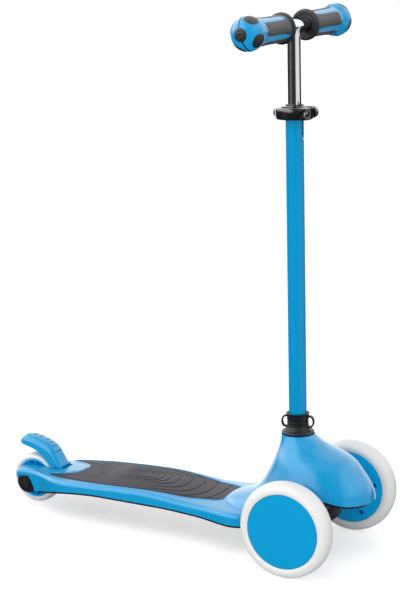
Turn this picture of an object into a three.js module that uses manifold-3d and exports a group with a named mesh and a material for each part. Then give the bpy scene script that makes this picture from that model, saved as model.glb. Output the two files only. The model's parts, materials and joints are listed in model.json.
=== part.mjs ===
// Three wheel kids scooter that is steered by leaning, with a T-bar of adjustable height and a foot brake.
// Millimetres. +X points forward, +Y to the rider's left, +Z up, and the wheels stand on z = 0.

import * as THREE from 'three';
import { mergeVertices } from 'three/addons/utils/BufferGeometryUtils.js';
import Module from 'manifold-3d';

const wasm = await Module();
wasm.setup();

// Clearances and cutting
const seatGap = 0.3; // between a piece and its seat
const runningGap = 0.3; // round a shaft that turns or slides
const overrun = 4; // how far a cut runs past what it cuts
const weld = 0.0005; // corners closer than this are one corner

// Front wheels
const frontWheelRadius = 60;
const frontWheelWidth = 26.6;
const frontTrack = 194.3; // between the two wheel centre planes
const wheelBase = 419.4;
const frontCentreRadius = 46.5; // the blue middle of the wheel
const frontTyreShoulder = 49.5; // radius where the tyre's flat side turns into its crown
const capInset = 1.2; // how far the cap lies inside the tyre's side
const capThickness = 2.4;
const capBulge = 0.8;
const rimWall = 3;
const webThickness = 3;
const hubWall = 3.4;
const boltHeadRoom = 4.6; // between the hub's outer end and the cap
const capScrewCircle = 36;
const capScrewCount = 5;
const capScrewHeadRadius = 3;
const capScrewHeadHeight = 2;
const capScrewRadius = 1.5;
const capScrewLength = 8;
const capScrewBossWall = 1.6;
const capScrewRecessDepth = 10;
const frontRibThickness = 2.2;

// Bearings, axles and their fasteners
const bearingRadius = 11;
const bearingBore = 4.1;
const bearingWidth = 7;
const axleRadius = 3.8;
const axleHeadRadius = 6.6;
const axleHeadHeight = 4;
const spacerRadius = 5.6;
const nutRadius = 7;
const nutHeight = 6;

// Rear wheel
const rearWheelRadius = 33.7;
const rearWheelWidth = 23.6;
const rearCentreRadius = 26;
const rearTyreShoulder = 28.5;
const rearRibCount = 12;
const rearRibThickness = 1.8;
const rearWebThickness = 3;
const rearRimWall = 2.4;
const rearRibInset = 1.4; // how far the ribs lie inside the wheel's sides

// Axle carrier, kingpin and bracket of the lean-to-steer truck
const kingpinRise = 50; // degrees above the horizontal, rising forwards
const kingpinHeight = 62; // where its axis crosses the front axle's plane
const kingpinRadius = 3.8;
const kingpinHeadHeight = 4.5;
const carrierSeatRadius = 15.5;
const carrierSeatAbove = 5; // the seat's upper face, along the kingpin
const carrierSeatBelow = 7;
const bushRadius = 11.5;
const bushHeight = 9;
const bushWaist = 1.6;
const washerThickness = 1.5;
const washerRadius = 9;
const carrierEndRadius = 9;
const carrierShoulderDepth = 12;
const carrierShoulderHeight = 10;
const carrierShoulderPlace = 46; // from the middle of the carrier
const carrierMiddleDepth = 17;
const carrierMiddleHeight = 13;
const carrierMiddlePlace = 20;
const carrierTipRadius = 6.2;
const carrierTipLength = 2.5;
const carrierKeelDepth = 17; // how far the middle block hangs below the axle
const carrierKeelFront = 22;
const carrierKeelRear = 10;
const carrierKeelTaper = 7;
const carrierKeelHalfWidth = 19;
const axleBoltLength = 44;
const bracketSeatThickness = 7;
const bracketHalfWidth = 14;
const bracketPlateThickness = 4;
const bracketPlateHalfWidth = 27;
const bracketPlateTop = 102;
const bracketPlateRear = -9;
const bracketPlateFront = 38;
const bracketScrewInset = 7;
const bracketScrewRadius = 2;

// Body shell: deck, shoulders behind the front wheels, head and neck in one moulding
const bodyWall = 3;
const deckTop = 58; // height of the edge of the deck's top, where it is highest
const deckCrown = 2.6; // how much higher the top is on the centre line
const deckEdgeRadius = 6;
const deckHalfWidth = 57.5;
const shoulderHalfWidth = 71;
const armHalfWidth = 30; // outer face of the fork's arms at the rear axle
const armEndRadius = 15.2; // round the rear axle
const bodyTail = 19.6; // how far the body reaches behind the rear axle
const bodyFloor = 15; // the lofts start below the lowest edge of the body
const neckTop = 150.5;
const headFront = 71;
const headHalfWidth = 58.5;
const wheelWellHalfWidth = 14.4;
const wheelWellGap = 4;

// Bottom cover
const coverThickness = 2.2;
const coverInset = 0.7;
const coverFront = 66;
const coverRearAhead = 21.4; // how far ahead of the rear axle the cover ends
const truckOpeningHalfWidth = 31;
const truckOpeningRear = -16;
const truckOpeningFront = 44;

// Rubber mat on the deck
const matThickness = 1.6;
const matSunk = 1.3;
const matHalfWidth = 48;
const matFront = -121.6;
const matRearAhead = 39.4; // how far ahead of the rear axle the mat's rear corners lie
const matTongueAhead = 75.9; // and the middle of its rear edge

// Rear fork's end caps, axle and brake
const endCapDepth = 4.6;
const endCapRadius = 15.6;
const endCapLiftShare = 0.32; // how far above the axle the slanted edge passes
const endCapSlope = 47; // degrees of the slanted edge between the arm and its end cap
const brakeHalfWidth = 13.6;
const brakeTroughHalfWidth = 12.2; // the hollow under the arch that takes the tyre
const brakePinAhead = 42.4; // how far ahead of the rear axle the pedal's pin lies
const brakePinHeight = 44.2;
const brakePinRadius = 2;
const brakeBarrelRadius = 4.6;
const brakeBarrelHalfWidth = 11.5;
const brakeLugWidth = 8;
const brakeGap = 2.8; // between the pedal's underside and the tyre
const brakeGrooveRadius = 1.3;
const brakeGrooveDepth = 0.9;
const brakeGrooveHalfLength = 9;
const brakeTailBehind = 22.1; // how far the pedal reaches behind the rear axle
const brakeTop = 92;
const springWireRadius = 0.7;
const springCoilRadius = 3.4;
const springTurns = 3;
const springPitch = 1.9;

// Column
const columnLean = 1.4; // degrees, backwards
const columnFoot = -32.3; // place of the column's axis at the top of the neck
const lowerTubeRadius = 11.2;
const lowerTubeWall = 1.5;
const lowerTubeTop = 407; // heights on the column count from the top of the neck
const lowerTubeSunk = 54; // length inside the neck
const clampSlitWidth = 2.6;
const clampSlitLength = 30;
const socketWall = 3.4;

// Collar round the foot of the column
const collarHeight = 26.5;
const collarFlangeRadius = 20.5;
const collarFlangeHeight = 4;
const collarRadius = 13.6;
const collarLipRadius = 14.9;
const collarGrooveDepth = 0.9;
const collarGrooveHeight = 1.8;
const clipReach = 7.2; // how far the squeeze clips stand out of the collar
const clipHeight = 15.5;
const clipWidth = 6;
const clipThickness = 1.4;
const clipFoot = 0.6; // length of the foot inside the collar's pocket
const clipTurn = 14; // degrees round the column, from its front
const clipPlace = 7.5; // height of the clip's lower end

// T-bar
const barRadius = 8.35;
const barWall = 1.3;
const teeHeight = 502;
const stemFoot = 92;
const crossbarHalfLength = 121;
const slotWidth = 4;
const slotTopRoom = 12; // from the slot's upper end to the crossbar's axis
const guideLipHeight = 2;
const guideGap = 2.1; // between the guide bush and the stop button
const plugHeight = 9;
const plugSpigot = 12;

// Quick-release clamp
const clampHeight = 16.8;
const clampTop = 408.2;
const clampWall = 4.6;
const clampGap = 3;
const earReach = 23;
const earThickness = 5;
const clampBoltPlace = 18.6;
const clampBoltRadius = 2.4;
const knobRadius = 7.4;
const knobLength = 8;
const camRadius = 6.2;
const camPinRadius = 1.8;
const leverHeight = 14.6;
const leverInner = 20.6;
const leverOuter = 25.4;
const leverTipThickness = 3.2;
const leverSweep = 154; // degrees round the column where the lever ends
const leverTailLength = 5;
const leverOpening = 120; // degrees that the lever swings

// Stop button and its leaf spring
const buttonDrop = 40; // from the top of the outer tube
const buttonRadius = 1.6;
const buttonProud = 0.8;
const buttonReach = 7.3; // distance of its inner end from the column's axis
const leafThickness = 0.45;
const leafWidth = 3.2;
const leafLength = 36;

// Grips
const gripInner = 30; // inner face of the flange, from the scooter's centre plane
const flangeRadius = 19;
const flangeThickness = 5;
const flangeRecess = 1.5; // depth of the dish in the flange's inner face
const gripRadius = 15.8;
const gripRootRadius = 16.6;
const bulbRadius = 20.7;
const bulbPlace = 118;
const gripBoreEnd = 122;
const gripRootAngle = 128; // degrees round the bulb, from its end to its root
const panelDepth = 1.5;
const panelHalfAngle = 28; // degrees
const panelTurn = 15; // degrees that the first panel lies above the front
const panelCount = 4;
const panelOuter = 99;

// Screws that hold the covers
const coverScrewRadius = 2.4;
const coverScrewLength = 7;
const coverScrewHeadRadius = 4;
const coverScrewHeadHeight = 1.6;
const postWall = 2.4;

// Numbers of faces round a revolved piece
const wheelSides = 32;
const hubSides = 16;
const tubeSides = 20;
const pinSides = 8;
const gripSides = 16;

// Places that follow from these sizes
const bodyRear = -(wheelBase + bodyTail);
const coverRear = coverRearAhead - wheelBase;
const matRear = matRearAhead - wheelBase;
const matTongue = matTongueAhead - wheelBase;
const brakePinPlace = brakePinAhead - wheelBase;
const brakeTail = -(wheelBase + brakeTailBehind);
const buttonHeight = lowerTubeTop - buttonDrop;

const sides = [['left', 1], ['right', -1]];
const right = Math.PI / 2;
const turn = Math.PI * 2;
const wheelTurn = turn / wheelSides / 2; // puts a flat of each wheel's rim on the ground
const degrees = THREE.MathUtils.degToRad;

// Colours of the finishes
const blue = 0x0a9fdd;
const deepBlue = 0x0a50a0;
const white = 0xe4e4e2;
const black = 0x1b1c1e;
const darkGrey = 0x3a3b3e;
const matGrey = 0x6c6c74;
const chrome = 0xc8c8cc;
const steel = 0x9a9ca0;
const rubberAmber = 0xb9b2a0;

const finishes = {
  body: { color: blue, roughness: 0.3, metalness: 0 },
  core: { color: deepBlue, roughness: 0.45, metalness: 0 },
  tyre: { color: white, roughness: 0.4, metalness: 0 },
  plastic: { color: black, roughness: 0.5, metalness: 0 },
  gloss: { color: black, roughness: 0.2, metalness: 0 },
  rubber: { color: darkGrey, roughness: 0.8, metalness: 0 },
  mat: { color: matGrey, roughness: 0.85, metalness: 0 },
  chrome: { color: chrome, roughness: 0.12, metalness: 1 },
  steel: { color: steel, roughness: 0.35, metalness: 1 },
  bush: { color: rubberAmber, roughness: 0.6, metalness: 0 },
  painted: { color: blue, roughness: 0.25, metalness: 0.2 },
};

// Turns a closed geometry into a solid that can be joined and cut
function asSolid(geometry) {
  const bare = geometry.clone();
  bare.deleteAttribute('normal');
  bare.deleteAttribute('uv');
  const merged = mergeVertices(bare, weld);
  const places = merged.attributes.position.array;
  const corners = merged.index.array;
  const kept = [];
  let volume = 0;
  const [a, b, c] = [new THREE.Vector3(), new THREE.Vector3(), new THREE.Vector3()];
  for (let face = 0; face < corners.length; face += 3) {
    const [i, j, k] = [corners[face], corners[face + 1], corners[face + 2]];
    if (i === j || j === k || k === i) continue;
    kept.push(i, j, k);
    a.fromArray(places, i * 3);
    b.fromArray(places, j * 3);
    c.fromArray(places, k * 3);
    volume += a.dot(b.cross(c));
  }
  if (volume < 0) kept.reverse();
  const mesh = new wasm.Mesh({
    numProp: 3,
    vertProperties: new Float32Array(places),
    triVerts: new Uint32Array(kept),
  });
  return new wasm.Manifold(mesh);
}

function asGeometry(solid) {
  const mesh = solid.getMesh();
  const geometry = new THREE.BufferGeometry();
  geometry.setAttribute('position', new THREE.BufferAttribute(new Float32Array(mesh.vertProperties), 3));
  geometry.setIndex(new THREE.BufferAttribute(new Uint32Array(mesh.triVerts), 1));
  geometry.computeVertexNormals();
  return geometry;
}

function join(...parts) {
  return asGeometry(parts.map(asSolid).reduce((whole, part) => whole.add(part)));
}

function cut(base, ...tools) {
  return asGeometry(tools.map(asSolid).reduce((whole, tool) => whole.subtract(tool), asSolid(base)));
}

function common(...parts) {
  return asGeometry(parts.map(asSolid).reduce((whole, part) => whole.intersect(part)));
}

// Basic forms

// A profile of [radius, height] points revolved about Z. One that leaves the axis out closes on itself.
function revolve(profile, sides) {
  const first = profile[0];
  const last = profile[profile.length - 1];
  const closed = first[0] > 0 && (first[0] !== last[0] || first[1] !== last[1]);
  const points = (closed ? [...profile, first] : profile).map(([r, z]) => new THREE.Vector2(r, z));
  return new THREE.LatheGeometry(points, sides).rotateX(right);
}

function tube(outer, inner, low, high, sides) {
  return revolve([[inner, low], [outer, low], [outer, high], [inner, high]], sides);
}

function rod(radius, low, high, sides) {
  return new THREE.CylinderGeometry(radius, radius, high - low, sides)
    .rotateX(right)
    .translate(0, 0, (low + high) / 2);
}

function block(x0, x1, y0, y1, z0, z1) {
  return new THREE.BoxGeometry(x1 - x0, y1 - y0, z1 - z0)
    .translate((x0 + x1) / 2, (y0 + y1) / 2, (z0 + z1) / 2);
}

// A plan outline of [x, y] points made into a plate between two heights
function plate(outline, low, high) {
  const shape = new THREE.Shape(outline.map(([x, y]) => new THREE.Vector2(x, y)));
  return new THREE.ExtrudeGeometry(shape, { depth: high - low, bevelEnabled: false }).translate(0, 0, low);
}

// A side view of [x, z] points made into a slab from one side plane to the other
function slab(outline, nearY, farY) {
  const shape = new THREE.Shape(outline.map(([x, z]) => new THREE.Vector2(x, z)));
  return new THREE.ExtrudeGeometry(shape, { depth: farY - nearY, bevelEnabled: false })
    .rotateX(right)
    .translate(0, farY, 0);
}

// A closed skin over rings of points that all have the same count
function skin(rings) {
  const count = rings[0].length;
  const places = rings.flat();
  const faces = [];
  for (let ring = 0; ring < rings.length - 1; ring += 1) {
    for (let step = 0; step < count; step += 1) {
      const next = (step + 1) % count;
      const [low, high] = [ring * count, (ring + 1) * count];
      faces.push(low + step, low + next, high + next, low + step, high + next, high + step);
    }
  }
  for (const [ring, flip] of [[0, true], [rings.length - 1, false]]) {
    const middle = new THREE.Vector3();
    rings[ring].forEach((place) => middle.add(place));
    places.push(middle.divideScalar(count));
    const centre = places.length - 1;
    for (let step = 0; step < count; step += 1) {
      const [a, b] = [ring * count + step, ring * count + ((step + 1) % count)];
      faces.push(...(flip ? [centre, b, a] : [centre, a, b]));
    }
  }
  const geometry = new THREE.BufferGeometry().setFromPoints(places);
  geometry.setIndex(faces);
  return geometry;
}

function around(count, make) {
  return Array.from({ length: count }, (_, index) => make((index * turn) / count));
}

// Value of a table of [place, value] rows at a place, along straight lines
function along(table, place) {
  const next = table.findIndex(([at]) => at >= place);
  if (next === 0) return table[0][1];
  if (next < 0) return table[table.length - 1][1];
  const [[x0, y0], [x1, y1]] = [table[next - 1], table[next]];
  return y0 + ((y1 - y0) * (place - x0)) / (x1 - x0);
}

const root = new THREE.Group();

function add(parent, name, geometry, finish) {
  const material = new THREE.MeshStandardMaterial(finishes[finish]);
  const mesh = new THREE.Mesh(asGeometry(asSolid(geometry)), material);
  mesh.name = name;
  parent.add(mesh);
  return mesh;
}

// Body shell

// The deck's sections: place along the deck as a share of its length behind the front axle, half width as a
// share of the deck's half width, and top as a share of the deck's height
const deckSectionShares = [
  [1, 0.487, 0.819],
  [0.982, 0.499, 0.862],
  [0.954, 0.52, 0.879],
  [0.923, 0.565, 0.879],
  [0.888, 0.67, 0.879],
  [0.866, 0.765, 0.881],
  [0.836, 0.878, 0.888],
  [0.8, 0.957, 0.9],
  [0.752, 0.997, 0.924],
  [0.681, 1.002, 0.952],
  [0.599, 0.997, 0.983],
  [0.524, 0.991, 0.998],
  [0.467, 0.991, 0.986],
  [0.41, 0.991, 0.953],
  [0.36, 1, 0.929],
  [0.312, 1.043, 0.931],
  [0.276, 1.113, 0.941],
  [0.239, 1.191, 0.952],
  [0.207, 1.235, 0.959],
  [0.185, 1.209, 0.959],
  [0.166, 1.113, 0.948],
  [0.15, 0.957, 0.931],
];
const shoulderScale = shoulderHalfWidth / deckHalfWidth / 1.235;

const crownShares = [-0.6, 0, 0.6];

function deckHalf(share) {
  return deckHalfWidth * (share > 1.01 ? share * shoulderScale : share);
}

function crownAt(y, half) {
  return deckCrown * (1 - (y / half) ** 2);
}

function deckRing(x, half, top, cornerSteps) {
  const ring = [];
  const flat = half - deckEdgeRadius;
  const crown = crownShares.map((share) => new THREE.Vector3(x, flat * share, top + crownAt(share, 1)));
  for (const side of [-1, 1]) {
    const arc = [];
    for (let step = 0; step <= cornerSteps; step += 1) {
      const angle = (step / cornerSteps) * right;
      const y = half - deckEdgeRadius + deckEdgeRadius * Math.cos(angle);
      const z = top - deckEdgeRadius + deckEdgeRadius * Math.sin(angle);
      arc.push(new THREE.Vector3(x, side * y, z));
    }
    arc.unshift(new THREE.Vector3(x, side * half, bodyFloor));
    if (side < 0) ring.push(...arc, ...crown);
    else ring.push(...arc.reverse());
  }
  return ring;
}

function deckLoft(inset) {
  const cornerSteps = inset > 0 ? 1 : 3;
  return skin(deckSectionShares.map(([place, half, top], index) => {
    const end = index === 0 ? inset : 0;
    return deckRing(bodyRear * place + end, deckHalf(half) - inset, deckTop * top - inset, cornerSteps);
  }));
}

// The head's level sections, from the top of the neck down: height above the ground as a share of the neck's
// height, rear end, widest place and front end as shares of the head's front reach, half width as a share
const headSectionShares = [
  [1, -0.748, -0.455, -0.162, 0.356],
  [0.973, -0.741, -0.451, -0.092, 0.393],
  [0.947, -0.746, -0.423, -0.011, 0.429],
  [0.92, -0.763, -0.366, 0.07, 0.458],
  [0.894, -0.776, -0.31, 0.23, 0.532],
  [0.857, -0.793, -0.254, 0.461, 0.653],
  [0.811, -0.827, -0.197, 0.637, 0.747],
  [0.757, -0.88, -0.155, 0.727, 0.795],
  [0.698, -0.938, -0.113, 0.825, 0.853],
  [0.631, -1.014, -0.085, 0.92, 0.913],
  [0.578, -1.076, -0.07, 0.975, 0.956],
  [0.532, -1.149, -0.085, 0.993, 0.981],
  [0.498, -1.232, -0.099, 1, 0.997],
  [0.462, -1.352, -0.141, 0.993, 1.017],
  [0.432, -1.577, -0.254, 0.986, 1.043],
  [0.379, -1.845, -0.465, 0.972, 1.094],
  [0.1, -1.845, -0.465, 0.972, 1.094],
];

function headRing(z, rear, widest, front, half, steps) {
  const ring = [];
  for (let step = 0; step < steps; step += 1) {
    const angle = (step * turn) / steps;
    const reach = Math.cos(angle) > 0 ? front - widest : widest - rear;
    ring.push(new THREE.Vector3(widest + reach * Math.cos(angle), half * Math.sin(angle), z));
  }
  return ring;
}

function headLoft(inset) {
  return skin(headSectionShares.map(([height, rear, widest, front, half], index) => headRing(
    neckTop * height + (index === 0 ? (inset > 0 ? -inset : overrun) : 0),
    headFront * rear + inset,
    headFront * widest,
    headFront * front - inset,
    headHalfWidth * half - inset,
    inset > 0 ? 14 : 28,
  )));
}

function bodyLoft(inset) {
  return join(deckLoft(inset), headLoft(inset));
}

// The lower edge of the body in side view, from the rear axle to the nose. Places are shares of the wheel
// base, and heights are shares of the height of the deck's top.
const lowerEdgeShares = [
  [-1.06, 0.389],
  [-0.985, 0.405],
  [-0.963, 0.421],
  [-0.918, 0.5],
  [-0.86, 0.615],
  [-0.77, 0.71],
  [-0.69, 0.741],
  [-0.48, 0.741],
  [-0.36, 0.712],
  [-0.26, 0.7],
  [-0.186, 0.708],
  [-0.152, 0.799],
  [-0.12, 1.073],
  [-0.088, 1.336],
  [-0.045, 1.467],
  [0.024, 1.483],
  [0.067, 1.457],
  [0.1, 1.388],
  [0.131, 1.346],
  [0.2, 1.33],
];

function lowerEdge(drop) {
  return lowerEdgeShares.map(([x, z]) => [wheelBase * x, deckTop * z - drop]);
}

const bodyReach = frontWheelRadius + headFront;
const outside = shoulderHalfWidth + overrun;

// Everything below the body's lower edge, let down by a drop
function below(drop) {
  const edge = lowerEdge(drop);
  const start = edge[0];
  const end = edge[edge.length - 1];
  const outline = [
    [bodyRear - bodyReach, -bodyReach],
    [bodyRear - bodyReach, start[1]],
    ...edge,
    [bodyReach, end[1]],
    [bodyReach, -bodyReach],
  ];
  return slab(outline, -outside, outside);
}

// A frame along the column: the origin is on its axis at the top of the neck
const column = new THREE.Group();
column.position.set(columnFoot, 0, neckTop);
column.rotation.y = -degrees(columnLean);
column.updateMatrix();

function onColumn(geometry) {
  return geometry.applyMatrix4(column.matrix);
}

const rearAxle = [-wheelBase, 0, rearWheelRadius];

function aboutRearAxle(geometry) {
  return geometry.rotateX(-right).translate(...rearAxle);
}

// The truck's kingpin axis, as a frame whose Z runs up along it
const kingpinTilt = right - degrees(kingpinRise);

function onKingpin(geometry) {
  return geometry.rotateY(kingpinTilt).translate(0, 0, kingpinHeight);
}

const bracketScrewPlaces = [bracketPlateRear + bracketScrewInset, bracketPlateFront - bracketScrewInset]
  .flatMap((x) => [-1, 1].map((side) => [x, side * (bracketPlateHalfWidth - bracketScrewInset)]));

// Places of the screws of the bottom cover: shares of the wheel base and of the deck's half width
const coverScrewShares = [[-0.77, 0.7], [-0.48, 0.7], [-0.2, 0.86]];
const coverScrewPlaces = coverScrewShares
  .flatMap(([x, y]) => [-1, 1].map((side) => [wheelBase * x, side * deckHalfWidth * y]));

function lowerEdgeAt(x) {
  return along(lowerEdge(0), x);
}

function wheelWell() {
  const radius = rearWheelRadius + wheelWellGap;
  const round = aboutRearAxle(rod(radius, -wheelWellHalfWidth, wheelWellHalfWidth, wheelSides));
  const rear = block(
    bodyRear - overrun,
    -wheelBase,
    -wheelWellHalfWidth,
    wheelWellHalfWidth,
    -overrun,
    deckTop + overrun,
  );
  const above = block(
    -wheelBase,
    -wheelBase + radius * 0.6,
    -wheelWellHalfWidth,
    wheelWellHalfWidth,
    rearWheelRadius,
    deckTop + overrun,
  );
  return join(round, rear, above);
}

// The slanted half of a disc round the rear axle that the arm leaves to its end cap
function endCapForm(radius, inner, outer, gap) {
  const disc = aboutRearAxle(rod(radius, inner, outer, hubSides));
  const reach = radius * 2;
  const lower = block(-reach, reach, inner - overrun, outer + overrun, -reach, 0)
    .rotateY(degrees(endCapSlope))
    .translate(-wheelBase, 0, rearWheelRadius)
    .translate(-Math.sin(degrees(endCapSlope)) * gap, 0, -Math.cos(degrees(endCapSlope)) * gap);
  const lift = armEndRadius * endCapLiftShare;
  const raised = lower.translate(
    Math.sin(degrees(endCapSlope)) * lift,
    0,
    Math.cos(degrees(endCapSlope)) * lift,
  );
  return common(disc, raised);
}

function armEnds() {
  // Everything behind the rear axle that lies outside the round end of the arms
  const radius = armEndRadius + seatGap;
  const lift = deckTop - rearWheelRadius;
  const keep = join(
    aboutRearAxle(rod(radius, -outside, outside, wheelSides)),
    block(-wheelBase - radius * 1.25, -wheelBase + radius, -outside, outside, rearWheelRadius + radius * 0.3,
      rearWheelRadius + lift),
  );
  const behind = block(bodyRear - overrun, -wheelBase + radius * 0.6, -outside, outside, -overrun,
    deckTop + overrun);
  return cut(behind, keep);
}

function brakePocket() {
  const side = brakeBarrelHalfWidth + seatGap;
  const radius = brakeBarrelRadius + seatGap;
  return join(
    rod(radius, -side, side, hubSides).rotateX(right).translate(brakePinPlace, 0, brakePinHeight),
    block(brakePinPlace - radius, brakePinPlace + radius, -side, side, brakePinHeight, deckTop + overrun),
    block(-wheelBase, brakePinPlace, -side, side, brakePinHeight - radius, deckTop + overrun),
  );
}

function makeBody() {
  const outer = bodyLoft(0);
  const inner = bodyLoft(bodyWall);
  const forkFront = -wheelBase + rearWheelRadius + wheelWellGap + bodyWall;
  const solidRear = block(bodyRear - overrun, forkFront, -outside, outside, -overrun, deckTop + overrun);
  const brakeBlockWidth = brakeBarrelHalfWidth + brakeLugWidth;
  const brakeBlock = block(forkFront, brakePinPlace + brakeBarrelRadius + bodyWall, -brakeBlockWidth,
    brakeBlockWidth, brakePinHeight - brakeBarrelRadius - bodyWall, deckTop);
  const hollow = cut(inner, solidRear);
  const socket = onColumn(rod(lowerTubeRadius + seatGap + socketWall, -lowerTubeSunk - socketWall, 0,
    tubeSides));
  const bracketPosts = bracketScrewPlaces.map(([x, y]) => rod(
    bracketScrewRadius + postWall,
    bracketPlateTop + seatGap,
    neckTop,
    pinSides,
  ).translate(x, y, 0));
  const coverPosts = coverScrewPlaces.map(([x, y]) => rod(
    coverScrewRadius + postWall,
    lowerEdgeAt(x),
    deckTop * 1.1,
    pinSides,
  ).translate(x, y, 0));
  const inside = common(join(socket, brakeBlock, ...bracketPosts, ...coverPosts), outer);
  const shell = join(cut(outer, hollow), inside);
  const screwHoles = bracketScrewPlaces.map(([x, y]) => rod(
    bracketScrewRadius + seatGap,
    -overrun,
    bracketPlateTop + coverScrewLength + overrun,
    pinSides,
  ).translate(x, y, 0));
  const coverHoles = coverScrewPlaces.map(([x, y]) => rod(
    coverScrewRadius + seatGap,
    -overrun,
    lowerEdgeAt(x) + coverScrewLength + seatGap,
    pinSides,
  ).translate(x, y, 0));
  const tubeBore = onColumn(rod(lowerTubeRadius + seatGap, -lowerTubeSunk, overrun, tubeSides));
  const neckEnd = onColumn(block(-outside, outside, -outside, outside, 0, overrun * 2));
  const axleBore = aboutRearAxle(rod(axleRadius + seatGap, -outside, outside, pinSides));
  const headSeats = [-1, 1].map((side) => {
    const [low, high] = side < 0 ? [-outside, -armHalfWidth] : [armHalfWidth, outside];
    return aboutRearAxle(rod(nutRadius + seatGap * 2, low, high, hubSides));
  });
  const pinBore = rod(brakePinRadius + seatGap, -outside, outside, pinSides)
    .rotateX(right)
    .translate(brakePinPlace, 0, brakePinHeight);
  const pinBoreInside = common(pinBore, block(bodyRear, 0, -brakeBlockWidth, brakeBlockWidth, 0, deckTop));
  const capRecess = [-1, 1].map((side) => {
    const [near, far] = [armHalfWidth - endCapDepth - seatGap, armHalfWidth + overrun];
    return endCapForm(endCapRadius + seatGap, side < 0 ? -far : near, side < 0 ? -near : far, 0);
  });
  return cut(
    shell,
    below(0),
    wheelWell(),
    armEnds(),
    brakePocket(),
    matForm(-seatGap, matSunk + seatGap, matThickness + overrun),
    neckEnd,
    tubeBore,
    axleBore,
    ...headSeats,
    pinBoreInside,
    ...capRecess,
    ...screwHoles,
    ...coverHoles,
  );
}

// Mat

// Half widths of the mat: place as a share of the way from its front to its rear, width as a share
const matOutlineShares = [
  [0, 0.17],
  [0.002, 0.35],
  [0.011, 0.49],
  [0.031, 0.608],
  [0.056, 0.656],
  [0.089, 0.692],
  [0.141, 0.742],
  [0.184, 0.808],
  [0.262, 0.873],
  [0.34, 0.923],
  [0.417, 0.967],
  [0.495, 0.99],
  [0.592, 1],
  [0.728, 0.981],
  [0.806, 0.948],
  [0.883, 0.892],
  [0.953, 0.81],
  [1, 0.719],
];

const matNotchShare = 0.67; // half width of the notch behind the mat, as a share of the mat's

function matOutline(grow) {
  const length = matRear - matFront;
  const side = matOutlineShares.map(([place, half]) => [
    matFront + length * place + grow * (1 - place * 2),
    matHalfWidth * half + grow,
  ]);
  const rearSteps = 12;
  const rear = [];
  for (let step = 0; step <= rearSteps; step += 1) {
    const share = 1 - (2 * step) / rearSteps;
    const y = (matHalfWidth * matNotchShare - grow * 2) * share;
    const depth = (matRear - matTongue) * Math.abs(share) ** 3.2;
    rear.push([matTongue + depth - grow, y]);
  }
  return [...side, ...rear, ...side.map(([x, y]) => [x, -y]).reverse()];
}

// Height of the deck's flat top at a place along it
function deckTopAt(x) {
  const table = deckSectionShares.map(([place, , top]) => [bodyRear * place, deckTop * top]);
  return along(table, x);
}

function matForm(grow, sunk, thickness) {
  const sections = deckSectionShares
    .map(([place, half]) => [bodyRear * place, deckHalf(half) - deckEdgeRadius])
    .filter(([x]) => x > matRear - matHalfWidth / 2 && x < matFront + matHalfWidth / 2);
  const levels = [-1, ...crownShares, 1];
  const layer = skin(sections.map(([x, flat]) => {
    const low = deckTopAt(x) - sunk;
    const across = levels.map((share) => new THREE.Vector3(x, flat * share, low + crownAt(share, 1)));
    const above = across.map((place) => new THREE.Vector3(x, place.y, place.z + thickness)).reverse();
    return [...across, ...above];
  }));
  return common(plate(matOutline(-grow), 0, deckTop * 2), layer);
}

// Bottom cover
function makeCover() {
  const form = bodyLoft(coverInset);
  const band = cut(below(seatGap), below(seatGap + coverThickness));
  const range = block(coverRear, coverFront, -outside, outside, 0, neckTop);
  const opening = block(truckOpeningRear, truckOpeningFront, -truckOpeningHalfWidth, truckOpeningHalfWidth, 0,
    neckTop);
  const holes = coverScrewPlaces.map(([x, y]) => rod(
    coverScrewRadius + seatGap,
    0,
    deckTop,
    pinSides,
  ).translate(x, y, 0));
  return cut(common(form, band, range), opening, wheelWell(), ...holes);
}

function hexNut(low, high) {
  const bore = rod(axleRadius + seatGap, low - overrun, high + overrun, pinSides);
  return cut(rod(nutRadius, low, high, 6), bore);
}

function screw(radius, length, headRadius, headHeight, sides) {
  return revolve([[0, -headHeight], [headRadius, -headHeight], [headRadius, 0], [radius, 0], [radius, length],
    [0, length]], sides);
}

add(root, 'body_shell', makeBody(), 'body');
add(root, 'deck_mat', matForm(0, matSunk, matThickness), 'mat');
add(root, 'bottom_cover', makeCover(), 'plastic');

// Rear fork's end caps, with the axle's head and nut outside them
for (const [name, side] of sides) {
  const [near, far] = [armHalfWidth - endCapDepth, armHalfWidth];
  const form = endCapForm(endCapRadius, side < 0 ? -far : near, side < 0 ? -near : far, seatGap);
  const cap = cut(form, aboutRearAxle(rod(axleRadius + seatGap, -outside, outside, pinSides)));
  add(root, `fork_end_cap_${name}`, cap, 'plastic');
}

const rearBoltReach = armHalfWidth + seatGap;
const rearBolt = revolve([
  [0, -rearBoltReach - axleHeadHeight],
  [axleHeadRadius, -rearBoltReach - axleHeadHeight],
  [axleHeadRadius, -rearBoltReach],
  [axleRadius, -rearBoltReach],
  [axleRadius, rearBoltReach + nutHeight],
  [0, rearBoltReach + nutHeight],
], pinSides).rotateX(-right).translate(...rearAxle);
add(root, 'rear_axle_bolt', rearBolt, 'steel');
const rearNut = hexNut(rearBoltReach, rearBoltReach + nutHeight);
add(root, 'rear_axle_nut', rearNut.rotateX(-right).translate(...rearAxle), 'steel');

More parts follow.
